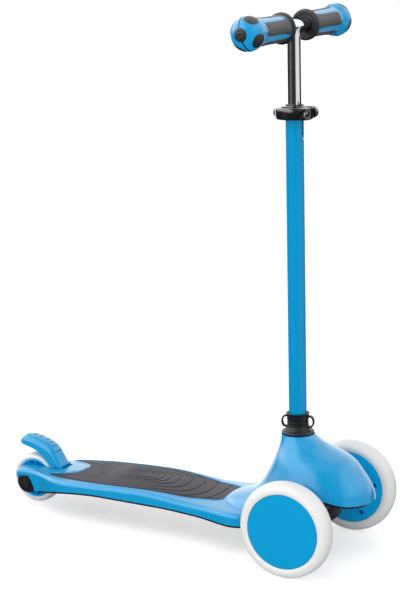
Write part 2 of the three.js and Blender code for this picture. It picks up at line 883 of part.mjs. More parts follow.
// Spacers between the bearings and out to the fork's arms, on the rear axle
const rearBearingPlace = rearWheelWidth / 2 - bearingWidth - rearRibInset;
const rearBearingEnd = rearBearingPlace + bearingWidth;
add(root, 'rear_bearing_spacer', aboutRearAxle(tube(
  spacerRadius,
  axleRadius + seatGap,
  -rearBearingPlace + seatGap,
  rearBearingPlace - seatGap,
  pinSides,
)), 'steel');
for (const [name, side] of sides) {
  const [near, far] = [rearBearingEnd + seatGap, wheelWellHalfWidth - seatGap];
  const [low, high] = side < 0 ? [-far, -near] : [near, far];
  const spacer = tube(spacerRadius, axleRadius + seatGap, low, high, pinSides);
  add(root, `rear_axle_spacer_${name}`, spacer.rotateX(-right).translate(...rearAxle), 'steel');
}

// Wheels

// Cross section of a tyre: a seat on the wheel's middle, flat sides and an elliptical crown
function tyreProfile(seat, shoulder, radius, width) {
  const half = width / 2;
  const steps = 6;
  const profile = [[seat, half - capInset], [seat, -half + capInset]];
  for (let step = 0; step <= steps; step += 1) {
    const angle = (step / steps - 1 / 2) * Math.PI;
    const crown = (radius - shoulder) * Math.cos(angle) ** 0.8;
    profile.push([shoulder + crown, half * Math.sin(angle)]);
  }
  return profile;
}

function bearing(low) {
  return tube(bearingRadius, bearingBore, low, low + bearingWidth, hubSides);
}

// Front wheel, with Z pointing outwards along its axle
const frontHalf = frontWheelWidth / 2;
const capFace = frontHalf - capInset;
const capBack = capFace - capThickness;
const hubInner = -frontHalf + seatGap;
const hubOuter = capBack - boltHeadRoom;
const frontSeat = bearingRadius + seatGap;
const frontHub = frontSeat + hubWall;
const bearingStop = bearingRadius - hubWall / 2;
const webFace = -frontHalf + capInset;
const webBack = webFace + webThickness;
const frontBoss = capScrewHeadRadius + seatGap + capScrewBossWall;
const frontBossEnd = webFace + capScrewRecessDepth + capScrewHeadHeight;

// A hub with a bearing's seat in each end and a step between them
function wheelHub(low, high, outer) {
  const depth = bearingWidth + seatGap;
  return revolve([
    [frontSeat, low],
    [outer, low],
    [outer, high],
    [frontSeat, high],
    [frontSeat, high - depth],
    [bearingStop, high - depth],
    [bearingStop, low + depth],
    [frontSeat, low + depth],
  ], hubSides);
}

function capScrewPlace(angle) {
  return [capScrewCircle * Math.cos(angle), capScrewCircle * Math.sin(angle)];
}

function makeFrontCore() {
  const middle = (frontSeat + frontHub) / 2;
  const dish = revolve([
    [middle, webFace],
    [frontCentreRadius, webFace],
    [frontCentreRadius, capBack - seatGap],
    [frontCentreRadius - rimWall, capBack - seatGap],
    [frontCentreRadius - rimWall, webBack],
    [middle, webBack],
  ], wheelSides);
  const hub = wheelHub(hubInner, hubOuter, frontHub);
  const ribHeight = hubOuter - webBack;
  const ribs = around(capScrewCount, (angle) => block(
    middle,
    frontCentreRadius - rimWall / 2,
    -frontRibThickness / 2,
    frontRibThickness / 2,
    webFace + webThickness / 2,
    webBack + ribHeight,
  ).rotateZ(angle + turn / capScrewCount / 2));
  const bosses = around(capScrewCount, (angle) => rod(frontBoss, webFace + webThickness / 2, frontBossEnd,
    pinSides).translate(...capScrewPlace(angle), 0));
  const recesses = around(capScrewCount, (angle) => join(
    rod(capScrewHeadRadius + seatGap, webFace - overrun, webFace + capScrewRecessDepth, pinSides),
    rod(capScrewRadius + seatGap, webFace, frontBossEnd + overrun, pinSides),
  ).translate(...capScrewPlace(angle), 0));
  return cut(join(dish, hub, ...ribs, ...bosses), ...recesses);
}

function makeFrontCap() {
  const disc = revolve([
    [0, capBack],
    [frontCentreRadius, capBack],
    [frontCentreRadius, capFace - capBulge],
    [frontCentreRadius - capBulge, capFace],
    [0, capFace],
  ], wheelSides);
  const bosses = around(capScrewCount, (angle) => tube(frontBoss, capScrewRadius + seatGap,
    frontBossEnd + seatGap, capBack + capThickness / 2, pinSides).translate(...capScrewPlace(angle), 0));
  return join(disc, ...bosses);
}

for (const [side, sign] of sides) {
  const wheel = new THREE.Group();
  wheel.position.set(0, (sign * frontTrack) / 2, frontWheelRadius);
  wheel.rotation.set(-sign * right, 0, wheelTurn);
  root.add(wheel);
  const tyre = tyreProfile(frontCentreRadius + seatGap, frontTyreShoulder, frontWheelRadius, frontWheelWidth);
  add(wheel, `front_tyre_${side}`, revolve(tyre, wheelSides), 'tyre');
  add(wheel, `front_wheel_core_${side}`, makeFrontCore(), 'core');
  add(wheel, `front_wheel_cap_${side}`, makeFrontCap(), 'body');
  add(wheel, `front_inner_bearing_${side}`, bearing(hubInner), 'steel');
  add(wheel, `front_outer_bearing_${side}`, bearing(hubOuter - bearingWidth), 'steel');
}

// Rear wheel
const rearHalf = rearWheelWidth / 2;
const rearSeat = bearingRadius + seatGap;
const rearHub = rearSeat + hubWall;

function makeRearCore() {
  const [edge, ribEdge] = [rearHalf - capInset, rearHalf - capInset - rearRibInset];
  const middle = (rearSeat + rearHub) / 2;
  const dish = revolve([
    [middle, -rearWebThickness / 2],
    [rearCentreRadius - rearRimWall, -rearWebThickness / 2],
    [rearCentreRadius - rearRimWall, -edge],
    [rearCentreRadius, -edge],
    [rearCentreRadius, edge],
    [rearCentreRadius - rearRimWall, edge],
    [rearCentreRadius - rearRimWall, rearWebThickness / 2],
    [middle, rearWebThickness / 2],
  ], wheelSides);
  const hub = wheelHub(-rearBearingEnd, rearBearingEnd, rearHub);
  const ribs = around(rearRibCount, (angle) => block(
    middle,
    rearCentreRadius - rearRimWall / 2,
    -rearRibThickness / 2,
    rearRibThickness / 2,
    -ribEdge,
    ribEdge,
  ).rotateZ(angle));
  return join(dish, hub, ...ribs);
}

const rearWheel = new THREE.Group();
rearWheel.position.set(...rearAxle);
rearWheel.rotation.set(right, 0, wheelTurn);
root.add(rearWheel);
const rearTyre = tyreProfile(rearCentreRadius + seatGap, rearTyreShoulder, rearWheelRadius, rearWheelWidth);
add(rearWheel, 'rear_tyre', revolve(rearTyre, wheelSides), 'tyre');
add(rearWheel, 'rear_wheel_core', makeRearCore(), 'core');
add(rearWheel, 'rear_bearing_right', bearing(rearBearingPlace), 'steel');
add(rearWheel, 'rear_bearing_left', bearing(-rearBearingEnd), 'steel');

// Truck

const carrierTip = frontTrack / 2 + hubInner - seatGap;
const carrierEnd = carrierTip - carrierTipLength;

function carrierRing(y, depth, height) {
  const steps = 12;
  return Array.from({ length: steps }, (_, step) => {
    const angle = (step * turn) / steps;
    const [c, s] = [Math.cos(angle), Math.sin(angle)];
    return new THREE.Vector3(
      depth * Math.sign(c) * Math.abs(c) ** 0.7,
      y,
      frontWheelRadius + height * Math.sign(s) * Math.abs(s) ** 0.7,
    );
  });
}

const upperBushFoot = carrierSeatAbove + seatGap;
const bracketSeatFoot = upperBushFoot + bushHeight + seatGap;
const kingpinHeadFoot = bracketSeatFoot + bracketSeatThickness + seatGap;
const lowerBushTop = -carrierSeatBelow - seatGap;
const lowerWasherTop = lowerBushTop - bushHeight - seatGap;
const kingpinNutTop = lowerWasherTop - washerThickness - seatGap;

function makeCarrier() {
  const halves = [
    [carrierMiddlePlace, carrierMiddleDepth, carrierMiddleHeight],
    [carrierShoulderPlace, carrierShoulderDepth, carrierShoulderHeight],
    [carrierEnd, carrierEndRadius, carrierEndRadius],
  ];
  const rings = [
    ...halves.map(([y, depth, height]) => carrierRing(-y, depth, height)).reverse(),
    ...halves.map(([y, depth, height]) => carrierRing(y, depth, height)),
  ];
  const beam = skin(rings);
  const tips = [-1, 1].map((side) => {
    const [near, far] = [carrierEnd - overrun, carrierTip];
    return rod(carrierTipRadius, side < 0 ? -far : near, side < 0 ? -near : far, hubSides)
      .rotateX(-right).translate(0, 0, frontWheelRadius);
  });
  const seat = onKingpin(rod(carrierSeatRadius, -carrierSeatBelow, carrierSeatAbove, hubSides));
  const keelFoot = frontWheelRadius - carrierKeelDepth;
  const keel = slab([
    [-carrierKeelRear, keelFoot + carrierKeelTaper],
    [0, keelFoot],
    [carrierKeelFront - carrierKeelTaper, keelFoot],
    [carrierKeelFront, frontWheelRadius - carrierKeelTaper],
    [carrierKeelFront, frontWheelRadius],
    [-carrierKeelRear, frontWheelRadius],
  ], -carrierKeelHalfWidth, carrierKeelHalfWidth);
  const reach = carrierSeatRadius * 2;
  const lowerRoom = onKingpin(rod(bushRadius + seatGap * 4, -reach * 2, -carrierSeatBelow, hubSides));
  const upperRoom = onKingpin(rod(reach, carrierSeatAbove, reach * 2, hubSides));
  const bore = onKingpin(rod(kingpinRadius + runningGap, -reach, reach, pinSides));
  const bolts = [-1, 1].map((side) => {
    const [near, far] = [carrierTip - axleBoltLength + bearingWidth * 2, carrierTip + overrun];
    return rod(axleRadius + seatGap, side < 0 ? -far : near, side < 0 ? -near : far, pinSides)
      .rotateX(-right).translate(0, 0, frontWheelRadius);
  });
  const seated = join(beam, ...tips, seat, keel);
  return cut(seated, lowerRoom, common(upperRoom, block(-reach, reach, -carrierKeelHalfWidth,
    carrierKeelHalfWidth, 0, neckTop)), bore, ...bolts);
}

function makeBracket() {
  const disc = onKingpin(rod(carrierSeatRadius, bracketSeatFoot, bracketSeatFoot + bracketSeatThickness,
    hubSides));
  const plateFoot = bracketPlateTop - bracketPlateThickness;
  const top = block(bracketPlateRear, bracketPlateFront, -bracketPlateHalfWidth, bracketPlateHalfWidth,
    plateFoot, bracketPlateTop);
  const [c, s] = [Math.cos(degrees(kingpinRise)), Math.sin(degrees(kingpinRise))];
  const seatBack = bracketSeatFoot + bracketSeatThickness / 2;
  const middle = [c * seatBack, kingpinHeight + s * seatBack];
  const [rise, run] = [c * carrierSeatRadius * 0.92, s * carrierSeatRadius * 0.92];
  const web = slab([
    [middle[0] - run, middle[1] + rise],
    [middle[0] + run, middle[1] - rise],
    [bracketPlateFront - bracketScrewInset, plateFoot + bracketPlateThickness / 2],
    [bracketPlateRear + bracketScrewInset, plateFoot + bracketPlateThickness / 2],
  ], -bracketHalfWidth, bracketHalfWidth);
  const headRoom = onKingpin(rod(washerRadius + seatGap, kingpinHeadFoot - seatGap, neckTop, hubSides));
  const bore = onKingpin(rod(kingpinRadius + seatGap, 0, neckTop, pinSides));
  const holes = bracketScrewPlaces.map(([x, y]) => rod(bracketScrewRadius + seatGap, 0, neckTop, pinSides)
    .translate(x, y, 0));
  return cut(join(disc, top, web), headRoom, bore, ...holes);
}

function bush(low) {
  const high = low + bushHeight;
  return onKingpin(revolve([
    [kingpinRadius + seatGap, low],
    [bushRadius, low],
    [bushRadius - bushWaist, (low * 2 + high) / 3],
    [bushRadius - bushWaist, (low + high * 2) / 3],
    [bushRadius, high],
    [kingpinRadius + seatGap, high],
  ], hubSides));
}

const kingpinFoot = kingpinNutTop - nutHeight;
add(root, 'truck_bracket', makeBracket(), 'plastic');
bracketScrewPlaces.forEach(([x, y], index) => add(root, `bracket_screw_${index + 1}`, screw(
  bracketScrewRadius,
  coverScrewLength + bracketPlateThickness,
  coverScrewHeadRadius,
  coverScrewHeadHeight,
  pinSides,
).translate(x, y, bracketPlateTop - bracketPlateThickness - seatGap), 'steel'));
add(root, 'kingpin', onKingpin(revolve([
  [0, kingpinFoot],
  [kingpinRadius, kingpinFoot],
  [kingpinRadius, kingpinHeadFoot],
  [axleHeadRadius, kingpinHeadFoot],
  [axleHeadRadius, kingpinHeadFoot + kingpinHeadHeight],
  [0, kingpinHeadFoot + kingpinHeadHeight],
], pinSides)), 'steel');
add(root, 'kingpin_washer', onKingpin(tube(washerRadius, kingpinRadius + seatGap,
  lowerWasherTop - washerThickness, lowerWasherTop, hubSides)), 'steel');
add(root, 'kingpin_nut', onKingpin(hexNut(kingpinFoot, kingpinNutTop)), 'steel');
add(root, 'upper_bush', bush(upperBushFoot), 'bush');
add(root, 'lower_bush', bush(lowerBushTop - bushHeight), 'bush');
add(root, 'axle_carrier', makeCarrier(), 'plastic');

// Front axle bolts, from inside each wheel's cap into the carrier, and the spacers between the bearings
for (const [name, side] of sides) {
  const bolt = revolve([
    [0, hubOuter + seatGap + axleHeadHeight],
    [axleHeadRadius, hubOuter + seatGap + axleHeadHeight],
    [axleHeadRadius, hubOuter + seatGap],
    [axleRadius, hubOuter + seatGap],
    [axleRadius, hubOuter - axleBoltLength],
    [0, hubOuter - axleBoltLength],
  ], pinSides);
  const spacer = tube(
    spacerRadius,
    axleRadius + seatGap,
    hubInner + bearingWidth + seatGap,
    hubOuter - bearingWidth - seatGap,
    pinSides,
  );
  const place = [0, (side * frontTrack) / 2, frontWheelRadius];
  add(root, `front_axle_bolt_${name}`, bolt.rotateX(-side * right).translate(...place), 'steel');
  add(root, `front_axle_spacer_${name}`, spacer.rotateX(-side * right).translate(...place), 'steel');
}

// Foot brake

// The pedal is an arch over the wheel. Its sections run from the tail to the foot: the place and height of the
// crest and of the side walls' lower edges, as shares of the way from the hinge pin to the tail and to the
// top, and the half width as a share.
const brakeSectionShares = [
  [1, 0.885, 0.992, 0.78, 0.769],
  [0.93, 0.969, 0.93, 0.745, 0.954],
  [0.822, 1, 0.822, 0.713, 1],
  [0.667, 0.979, 0.682, 0.665, 1],
  [0.512, 0.927, 0.543, 0.59, 1],
  [0.357, 0.854, 0.426, 0.473, 1],
  [0.217, 0.749, 0.333, 0.337, 1],
  [0.109, 0.582, 0.248, 0.23, 1],
  [0.016, 0.383, 0.14, 0.222, 0.969],
  [-0.039, 0.264, 0.047, 0.222, 0.923],
];
const brakeGrooveShares = [0.82, 0.69, 0.56, 0.44, 0.33, 0.23, 0.14]; // places of the ribs along the crest

function brakePoint(x, z) {
  return [brakePinPlace + (brakeTail - brakePinPlace) * x, brakePinHeight + (brakeTop - brakePinHeight) * z];
}

function brakeRing([crestX, crestZ, edgeX, edgeZ, half]) {
  const steps = 8;
  const crest = brakePoint(crestX, crestZ);
  const edge = brakePoint(edgeX, edgeZ);
  return Array.from({ length: steps + 1 }, (_, step) => {
    const angle = (Math.PI * step) / steps;
    const rise = Math.sin(angle) ** 0.6;
    const across = Math.sign(Math.cos(angle)) * Math.abs(Math.cos(angle)) ** 0.6;
    return new THREE.Vector3(
      edge[0] + (crest[0] - edge[0]) * rise,
      -brakeHalfWidth * half * across,
      edge[1] + (crest[1] - edge[1]) * rise,
    );
  });
}

function makeBrake() {
  const arch = skin(brakeSectionShares.map(brakeRing));
  const crest = brakeSectionShares.map(([x, z]) => [x, z]).reverse();
  const grooves = brakeGrooveShares.map((share) => {
    const [x, z] = brakePoint(share, along(crest, share));
    return rod(brakeGrooveRadius, -brakeGrooveHalfLength, brakeGrooveHalfLength, pinSides).rotateX(right)
      .translate(x, 0, z + brakeGrooveRadius - brakeGrooveDepth);
  });
  const barrel = rod(brakeBarrelRadius, -brakeBarrelHalfWidth, brakeBarrelHalfWidth, hubSides)
    .rotateX(right).translate(brakePinPlace, 0, brakePinHeight);
  const foot = brakePoint(0, brakeSectionShares[brakeSectionShares.length - 1][3])[1];
  const neck = block(
    brakePinPlace - brakeBarrelRadius * 0.9,
    brakePinPlace + brakeBarrelRadius * 0.2,
    -brakeBarrelHalfWidth,
    brakeBarrelHalfWidth,
    brakePinHeight,
    foot + brakeBarrelRadius * 0.4,
  );
  const bore = rod(brakePinRadius + runningGap, -outside, outside, pinSides)
    .rotateX(right).translate(brakePinPlace, 0, brakePinHeight);
  const coilHalf = springTurns * springPitch / 2 + springWireRadius * 2;
  const coilRoom = rod(springCoilRadius + springWireRadius * 2 + seatGap, -coilHalf, coilHalf, hubSides)
    .rotateX(right).translate(brakePinPlace, 0, brakePinHeight);
  const trough = aboutRearAxle(rod(rearWheelRadius + brakeGap, -brakeTroughHalfWidth, brakeTroughHalfWidth,
    wheelSides));
  return cut(join(arch, barrel, neck), ...grooves, trough, bore, coilRoom);
}

add(root, 'brake_pedal', makeBrake(), 'body');
const brakePinReach = brakeBarrelHalfWidth + brakeLugWidth - seatGap * 2;
add(root, 'brake_pin', rod(brakePinRadius, -brakePinReach, brakePinReach, pinSides)
  .rotateX(right).translate(brakePinPlace, 0, brakePinHeight), 'steel');

class Helix extends THREE.Curve {
  getPoint(share) {
    const angle = share * springTurns * turn;
    return new THREE.Vector3(
      brakePinPlace + springCoilRadius * Math.cos(angle),
      (share - 1 / 2) * springTurns * springPitch,
      brakePinHeight + springCoilRadius * Math.sin(angle),
    );
  }
}

function wireSection(radius, sides) {
  return new THREE.Shape(Array.from({ length: sides }, (_, step) => new THREE.Vector2(
    radius * Math.cos((step * turn) / sides),
    radius * Math.sin((step * turn) / sides),
  )));
}

add(root, 'brake_spring', new THREE.ExtrudeGeometry(wireSection(springWireRadius, 5), {
  steps: springTurns * 10,
  extrudePath: new Helix(),
  bevelEnabled: false,
}), 'steel');

// Column, in its own leaning frame

root.add(column);
const lowerTubeInner = lowerTubeRadius - lowerTubeWall;

function sideways(geometry) {
  return geometry.rotateY(right);
}

function makeLowerTube() {
  const pipe = tube(lowerTubeRadius, lowerTubeInner, -lowerTubeSunk + seatGap, lowerTubeTop, tubeSides);
  const slit = block(0, outside, -clampSlitWidth / 2, clampSlitWidth / 2, lowerTubeTop - clampSlitLength,
    lowerTubeTop + overrun);
  const hole = sideways(rod(buttonRadius + runningGap, 0, outside, pinSides)).translate(0, 0, buttonHeight);
  return cut(pipe, slit, hole);
}

// The collar's outside from its foot up, as shares of its height
function makeCollar() {
  const bore = lowerTubeRadius + seatGap;
  const grooveShares = [0.46, 0.6];
  const grooves = grooveShares.flatMap((share) => {
    const z = collarHeight * share;
    return [
      [collarRadius, z],
      [collarRadius - collarGrooveDepth, z],
      [collarRadius - collarGrooveDepth, z + collarGrooveHeight],
      [collarRadius, z + collarGrooveHeight],
    ];
  });
  const body = revolve([
    [bore, seatGap],
    [collarFlangeRadius, seatGap],
    [collarFlangeRadius, collarFlangeHeight * 0.6],
    [collarFlangeRadius - collarFlangeHeight * 0.3, collarFlangeHeight],
    [collarRadius + collarGrooveDepth, collarHeight * 0.31],
    [collarRadius, collarHeight * 0.36],
    ...grooves,
    [collarRadius, collarHeight * 0.88],
    [collarLipRadius, collarHeight],
    [bore + collarGrooveDepth, collarHeight],
    [bore, collarHeight * 0.95],
  ], tubeSides);
  const pockets = [-1, 1].map((side) => {
    const [near, far] = [bore * 0.9, collarFlangeRadius + overrun];
    return join(...clipFeet().map(([low, high]) => block(
      side < 0 ? -far : near,
      side < 0 ? -near : far,
      -clipWidth / 2 - seatGap,
      clipWidth / 2 + seatGap,
      low - seatGap,
      high + seatGap,
    ))).rotateZ(degrees(clipTurn));
  });
  return cut(body, ...pockets);
}

// Heights of the two feet of a squeeze clip
function clipFeet() {
  return [
    [clipPlace, clipPlace + clipThickness],
    [clipPlace + clipHeight - clipThickness, clipPlace + clipHeight],
  ];
}

// A squeeze clip is a bow of spring plastic. Its feet stop short of the tube by its travel.
function makeClip(side) {
  const tip = collarRadius - clipFoot;
  const steps = 10;
  const radius = clipHeight / 2;
  const middle = clipPlace + radius;
  const reach = collarRadius + clipReach - tip;
  const bow = (inset) => Array.from({ length: steps + 1 }, (_, step) => {
    const angle = -right + (step / steps) * Math.PI;
    return [
      tip + (reach - inset) * Math.cos(angle) ** 0.6,
      middle + (radius - inset) * Math.sin(angle),
    ];
  });
  const outline = [...bow(0), ...bow(clipThickness).reverse()];
  return slab(outline.map(([x, z]) => [side * x, z]), -clipWidth / 2, clipWidth / 2).rotateZ(degrees(clipTurn));
}

function makeTBar() {
  const inner = barRadius - barWall;
  const outerStem = rod(barRadius, stemFoot, teeHeight, tubeSides);
  const innerStem = rod(inner, stemFoot - overrun, teeHeight, tubeSides);
  const outerBar = rod(barRadius, -crossbarHalfLength, crossbarHalfLength, tubeSides).rotateX(right)
    .translate(0, 0, teeHeight);
  const innerBar = rod(inner, -crossbarHalfLength - overrun, crossbarHalfLength + overrun, tubeSides)
    .rotateX(right).translate(0, 0, teeHeight);
  const half = slotWidth / 2;
  const [low, high] = [buttonHeight - half / 4, teeHeight - slotTopRoom];
  const slot = join(
    block(0, outside, -half, half, low, high),
    sideways(rod(half, 0, outside, pinSides)).translate(0, 0, low),
    sideways(rod(half, 0, outside, pinSides)).translate(0, 0, high),
  );
  return cut(join(outerStem, outerBar), join(innerStem, innerBar), slot);
}

function makeGuide() {
  const inner = barRadius + runningGap;
  const outer = lowerTubeInner - seatGap;
  const foot = buttonHeight + buttonRadius + guideGap;
  return revolve([
    [inner, foot],
    [outer, foot],
    [outer, lowerTubeTop + seatGap],
    [lowerTubeRadius, lowerTubeTop + seatGap],
    [lowerTubeRadius - seatGap, lowerTubeTop + seatGap + guideLipHeight],
    [inner, lowerTubeTop + seatGap + guideLipHeight],
  ], tubeSides);
}

function makeStemPlug() {
  const outer = lowerTubeInner - runningGap;
  const spigot = barRadius - barWall - seatGap;
  const foot = stemFoot - seatGap - plugHeight;
  return revolve([
    [0, foot],
    [outer - capInset, foot],
    [outer, foot + capInset],
    [outer, foot + plugHeight],
    [spigot, foot + plugHeight],
    [spigot, foot + plugHeight + plugSpigot],
    [0, foot + plugHeight + plugSpigot],
  ], tubeSides);
}

add(column, 'lower_tube', makeLowerTube(), 'painted');
add(column, 'column_collar', makeCollar(), 'plastic');
add(column, 'squeeze_clip_front', makeClip(1), 'plastic');
add(column, 'squeeze_clip_rear', makeClip(-1), 'plastic');
add(column, 't_bar', makeTBar(), 'chrome');
add(column, 'stem_plug', makeStemPlug(), 'plastic');
add(column, 'guide_bush', makeGuide(), 'plastic');

// Stop button in the lower tube, whose nose runs in the T-bar's slot, and its leaf spring
const buttonProfile = [
  [0, buttonReach],
  [buttonRadius, buttonReach],
  [buttonRadius, lowerTubeRadius + buttonProud * 0.6],
  [buttonRadius * 0.6, lowerTubeRadius + buttonProud],
  [0, lowerTubeRadius + buttonProud],
];
add(column, 'stop_button', sideways(revolve(buttonProfile, pinSides)).translate(0, 0, buttonHeight), 'steel');
const leafTop = buttonHeight - buttonRadius - seatGap;
const leafPlace = lowerTubeInner - seatGap * 2;
add(column, 'button_leaf_spring', block(leafPlace - leafThickness, leafPlace, -leafWidth / 2, leafWidth / 2,
  leafTop - leafLength, leafTop), 'steel');

// Quick-release clamp round the top of the lower tube
const clampInner = lowerTubeRadius + seatGap;
const clampOuter = clampInner + clampWall;
const clampFoot = clampTop - clampHeight;
const clampMiddle = (clampTop + clampFoot) / 2;
const earFace = clampGap / 2 + earThickness;
const camPlace = [clampBoltPlace, -earFace - seatGap - camRadius];

function acrossBolt(geometry) {
  return geometry.rotateX(right).translate(clampBoltPlace, 0, clampMiddle);
}

function makeClamp() {
  const ring = tube(clampOuter, clampInner, clampFoot, clampTop, tubeSides);
  const ears = block(clampInner + clampWall / 2, earReach, -earFace, earFace, clampFoot, clampTop);
  const gap = block(0, earReach + overrun, -clampGap / 2, clampGap / 2, clampFoot - overrun,
    clampTop + overrun);
  const bore = acrossBolt(rod(clampBoltRadius + seatGap, -outside, outside, pinSides));
  const tubeRoom = rod(clampInner, clampFoot - overrun, clampTop + overrun, tubeSides);
  const knobSeat = rod(knobRadius + seatGap, earFace, outside, tubeSides).rotateX(-right)
    .translate(clampBoltPlace, 0, clampMiddle);
  return cut(join(ring, ears), gap, bore, tubeRoom, knobSeat);
}

// The rounded tip of the lever: place along the tip as a share of its length, and height as a share
const leverTipShares = [[0.4, 0.92], [0.7, 0.72], [0.9, 0.45], [1, 0.15]];

// The lever's cross-section: shares of its thickness outwards and of half its height upwards
const leverEdgeShares = [[0, -1], [0.5, -1], [1, -0.6], [1, 0.6], [0.5, 1], [0, 1]];

// The cam lever: a barrel on its upright pin, and a curved blade that hugs the column's right side
function makeLever() {
  const barrel = rod(camRadius, -leverHeight / 2, leverHeight / 2, hubSides).translate(...camPlace, 0);
  const start = Math.atan2(camPlace[1] - camRadius / 2, camPlace[0]);
  const end = -degrees(leverSweep);
  const radius = (leverInner + leverOuter) / 2;
  const arcLength = radius * (start - end);
  const length = arcLength + leverTailLength;
  const tipLength = leverHeight / 2;
  const travels = [
    ...Array.from({ length: 11 }, (_, step) => ((length - tipLength) * step) / 10),
    ...leverTipShares.map(([place]) => length - tipLength + tipLength * place),
  ];
  const blade = skin(travels.map((travel) => {
    const angle = start - Math.min(travel, arcLength) / radius;
    const tail = Math.max(travel - arcLength, 0);
    const taper = travel / length;
    const thickness = (leverOuter - leverInner) * (1 - taper) + leverTipThickness * taper;
    const half = (leverHeight / 2) * along([[0, 1], ...leverTipShares],
      Math.max(travel - length + tipLength, 0) / tipLength);
    return leverEdgeShares.map(([out, up]) => {
      const reach = leverInner + thickness * out;
      return new THREE.Vector3(
        reach * Math.cos(angle) + tail * Math.sin(end),
        reach * Math.sin(angle),
        half * up,
      );
    });
  }));
  const pinRoom = rod(camPinRadius + runningGap, -outside, outside, pinSides).translate(...camPlace, 0);
  const forkRoom = block(-outside, outside, -clampBoltRadius - seatGap, clampBoltRadius + seatGap,
    -clampBoltRadius - seatGap, clampBoltRadius + seatGap);
  const boltRoom = common(
    forkRoom.clone().rotateZ(right).translate(clampBoltPlace, 0, 0),
    rod(camRadius * 1.05, -leverHeight, leverHeight, hubSides).translate(...camPlace, 0),
  );
  const swingRoom = common(
    rod(camRadius * 1.02, -clampBoltRadius - seatGap, clampBoltRadius + seatGap, hubSides)
      .translate(...camPlace, 0),
    block(camPlace[0] - camRadius * 2, camPlace[0] + camRadius * 2, camPlace[1] - clampBoltRadius - seatGap,
      outside, -leverHeight, leverHeight),
  );
  const openRoom = common(
    rod(camRadius * 1.02, -clampBoltRadius - seatGap, clampBoltRadius + seatGap, hubSides),
    block(-outside, outside, -clampBoltRadius - seatGap, outside, -leverHeight, leverHeight)
      .rotateZ(-degrees(leverOpening)),
  ).translate(...camPlace, 0);
  return cut(join(barrel, blade), pinRoom, boltRoom, swingRoom, openRoom).translate(0, 0, clampMiddle);
}

function makeClampBolt() {
  const shank = rod(clampBoltRadius, camPlace[1] + camPinRadius + seatGap, earFace + seatGap + knobLength
    - seatGap * 2, pinSides).rotateX(-right);
  return shank.translate(clampBoltPlace, 0, clampMiddle);
}

add(column, 'clamp_band', makeClamp(), 'gloss');
add(column, 'clamp_bolt', makeClampBolt(), 'steel');
const knobFoot = earFace + seatGap;
add(column, 'clamp_knob', revolve([
  [clampBoltRadius + seatGap, knobFoot],
  [knobRadius, knobFoot],
  [knobRadius, knobFoot + knobLength * 0.8],
  [knobRadius * 0.85, knobFoot + knobLength],
  [clampBoltRadius + seatGap, knobFoot + knobLength],
], pinSides).rotateX(-right).translate(clampBoltPlace, 0, clampMiddle), 'gloss');
add(column, 'clamp_lever', makeLever(), 'gloss');
add(column, 'cam_pin', rod(camPinRadius, -leverHeight / 2, leverHeight / 2, pinSides)
  .translate(...camPlace, clampMiddle), 'steel');

// Grips

// The grip's solid form from its flange to the end of its bulb, with Z running outwards along the bar, let in
// by a depth
function gripForm(depth, start) {
  const bulbSteps = 6;
  const rootAngle = degrees(gripRootAngle);
  const bulb = Array.from({ length: bulbSteps + 1 }, (_, step) => {
    const angle = rootAngle * (1 - step / bulbSteps);
    const radius = bulbRadius - depth;
    return [radius * Math.sin(angle), bulbPlace + radius * Math.cos(angle)];
  });
  const root = bulbPlace + bulbRadius * Math.cos(rootAngle);
  const length = root - gripInner;
  return revolve([
    [0, start],
    [gripRadius - depth, start],
    [gripRadius - depth, gripInner + length * 0.5],
    [(gripRadius + gripRootRadius) / 2 - depth, gripInner + length * 0.75],
    [gripRootRadius - depth, gripInner + length * 0.88],
    ...bulb.slice(0, -1),
    [0, bulb[bulbSteps][1]],
  ], gripSides);
}

// Where the rubber shows: panels all round, the first of them a little above the front
function rubberWindows(grow, sign) {
  const reach = bulbRadius * 2;
  const half = reach * Math.tan(degrees(panelHalfAngle)) + grow;
  return Array.from({ length: panelCount }, (_, index) => plate(
    [[0, 0], [reach, -half], [reach, half]],
    gripInner,
    panelOuter + grow,
  ).translate(-grow, 0, 0).rotateZ(-sign * (degrees(panelTurn) + (index * turn) / panelCount)));
}

function makeGripBody(sign) {
  const start = gripInner + flangeThickness + seatGap;
  const core = gripForm(panelDepth + seatGap, gripInner - overrun);
  const recess = cut(join(...rubberWindows(seatGap, sign)), core);
  const bore = rod(barRadius + seatGap, start - overrun, gripBoreEnd, tubeSides);
  return cut(gripForm(0, start), recess, bore);
}

function makeGripRubber(sign) {
  const start = gripInner + flangeThickness / 2;
  const windows = join(...rubberWindows(0, sign));
  const inlay = cut(common(windows, gripForm(0, start)), gripForm(panelDepth, gripInner - overrun));
  const flange = revolve([
    [barRadius + seatGap, gripInner + flangeRecess],
    [gripRadius - flangeRecess * 2, gripInner + flangeRecess],
    [gripRadius - flangeRecess, gripInner],
    [flangeRadius - flangeThickness * 0.3, gripInner],
    [flangeRadius, gripInner + flangeThickness * 0.35],
    [flangeRadius, gripInner + flangeThickness * 0.65],
    [gripRadius, gripInner + flangeThickness],
    [barRadius + seatGap, gripInner + flangeThickness],
  ], gripSides);
  return join(flange, inlay);
}

for (const [side, sign] of sides) {
  const grip = new THREE.Group();
  grip.position.set(0, 0, teeHeight);
  grip.rotation.x = -sign * right;
  column.add(grip);
  add(grip, `grip_${side}`, makeGripBody(sign), 'body');
  add(grip, `grip_rubber_${side}`, makeGripRubber(sign), 'rubber');
}

// The origin is on the ground, under the middle of the scooter's box
const scooter = new THREE.Group();
scooter.add(root);
scooter.updateMatrixWorld(true);
const box = new THREE.Box3().setFromObject(scooter, true);
root.position.set(-(box.min.x + box.max.x) / 2, 0, -box.min.z);

export default scooter;
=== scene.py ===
import json
import math

import bmesh
import bpy
import numpy as np
from mathutils import Matrix, Vector


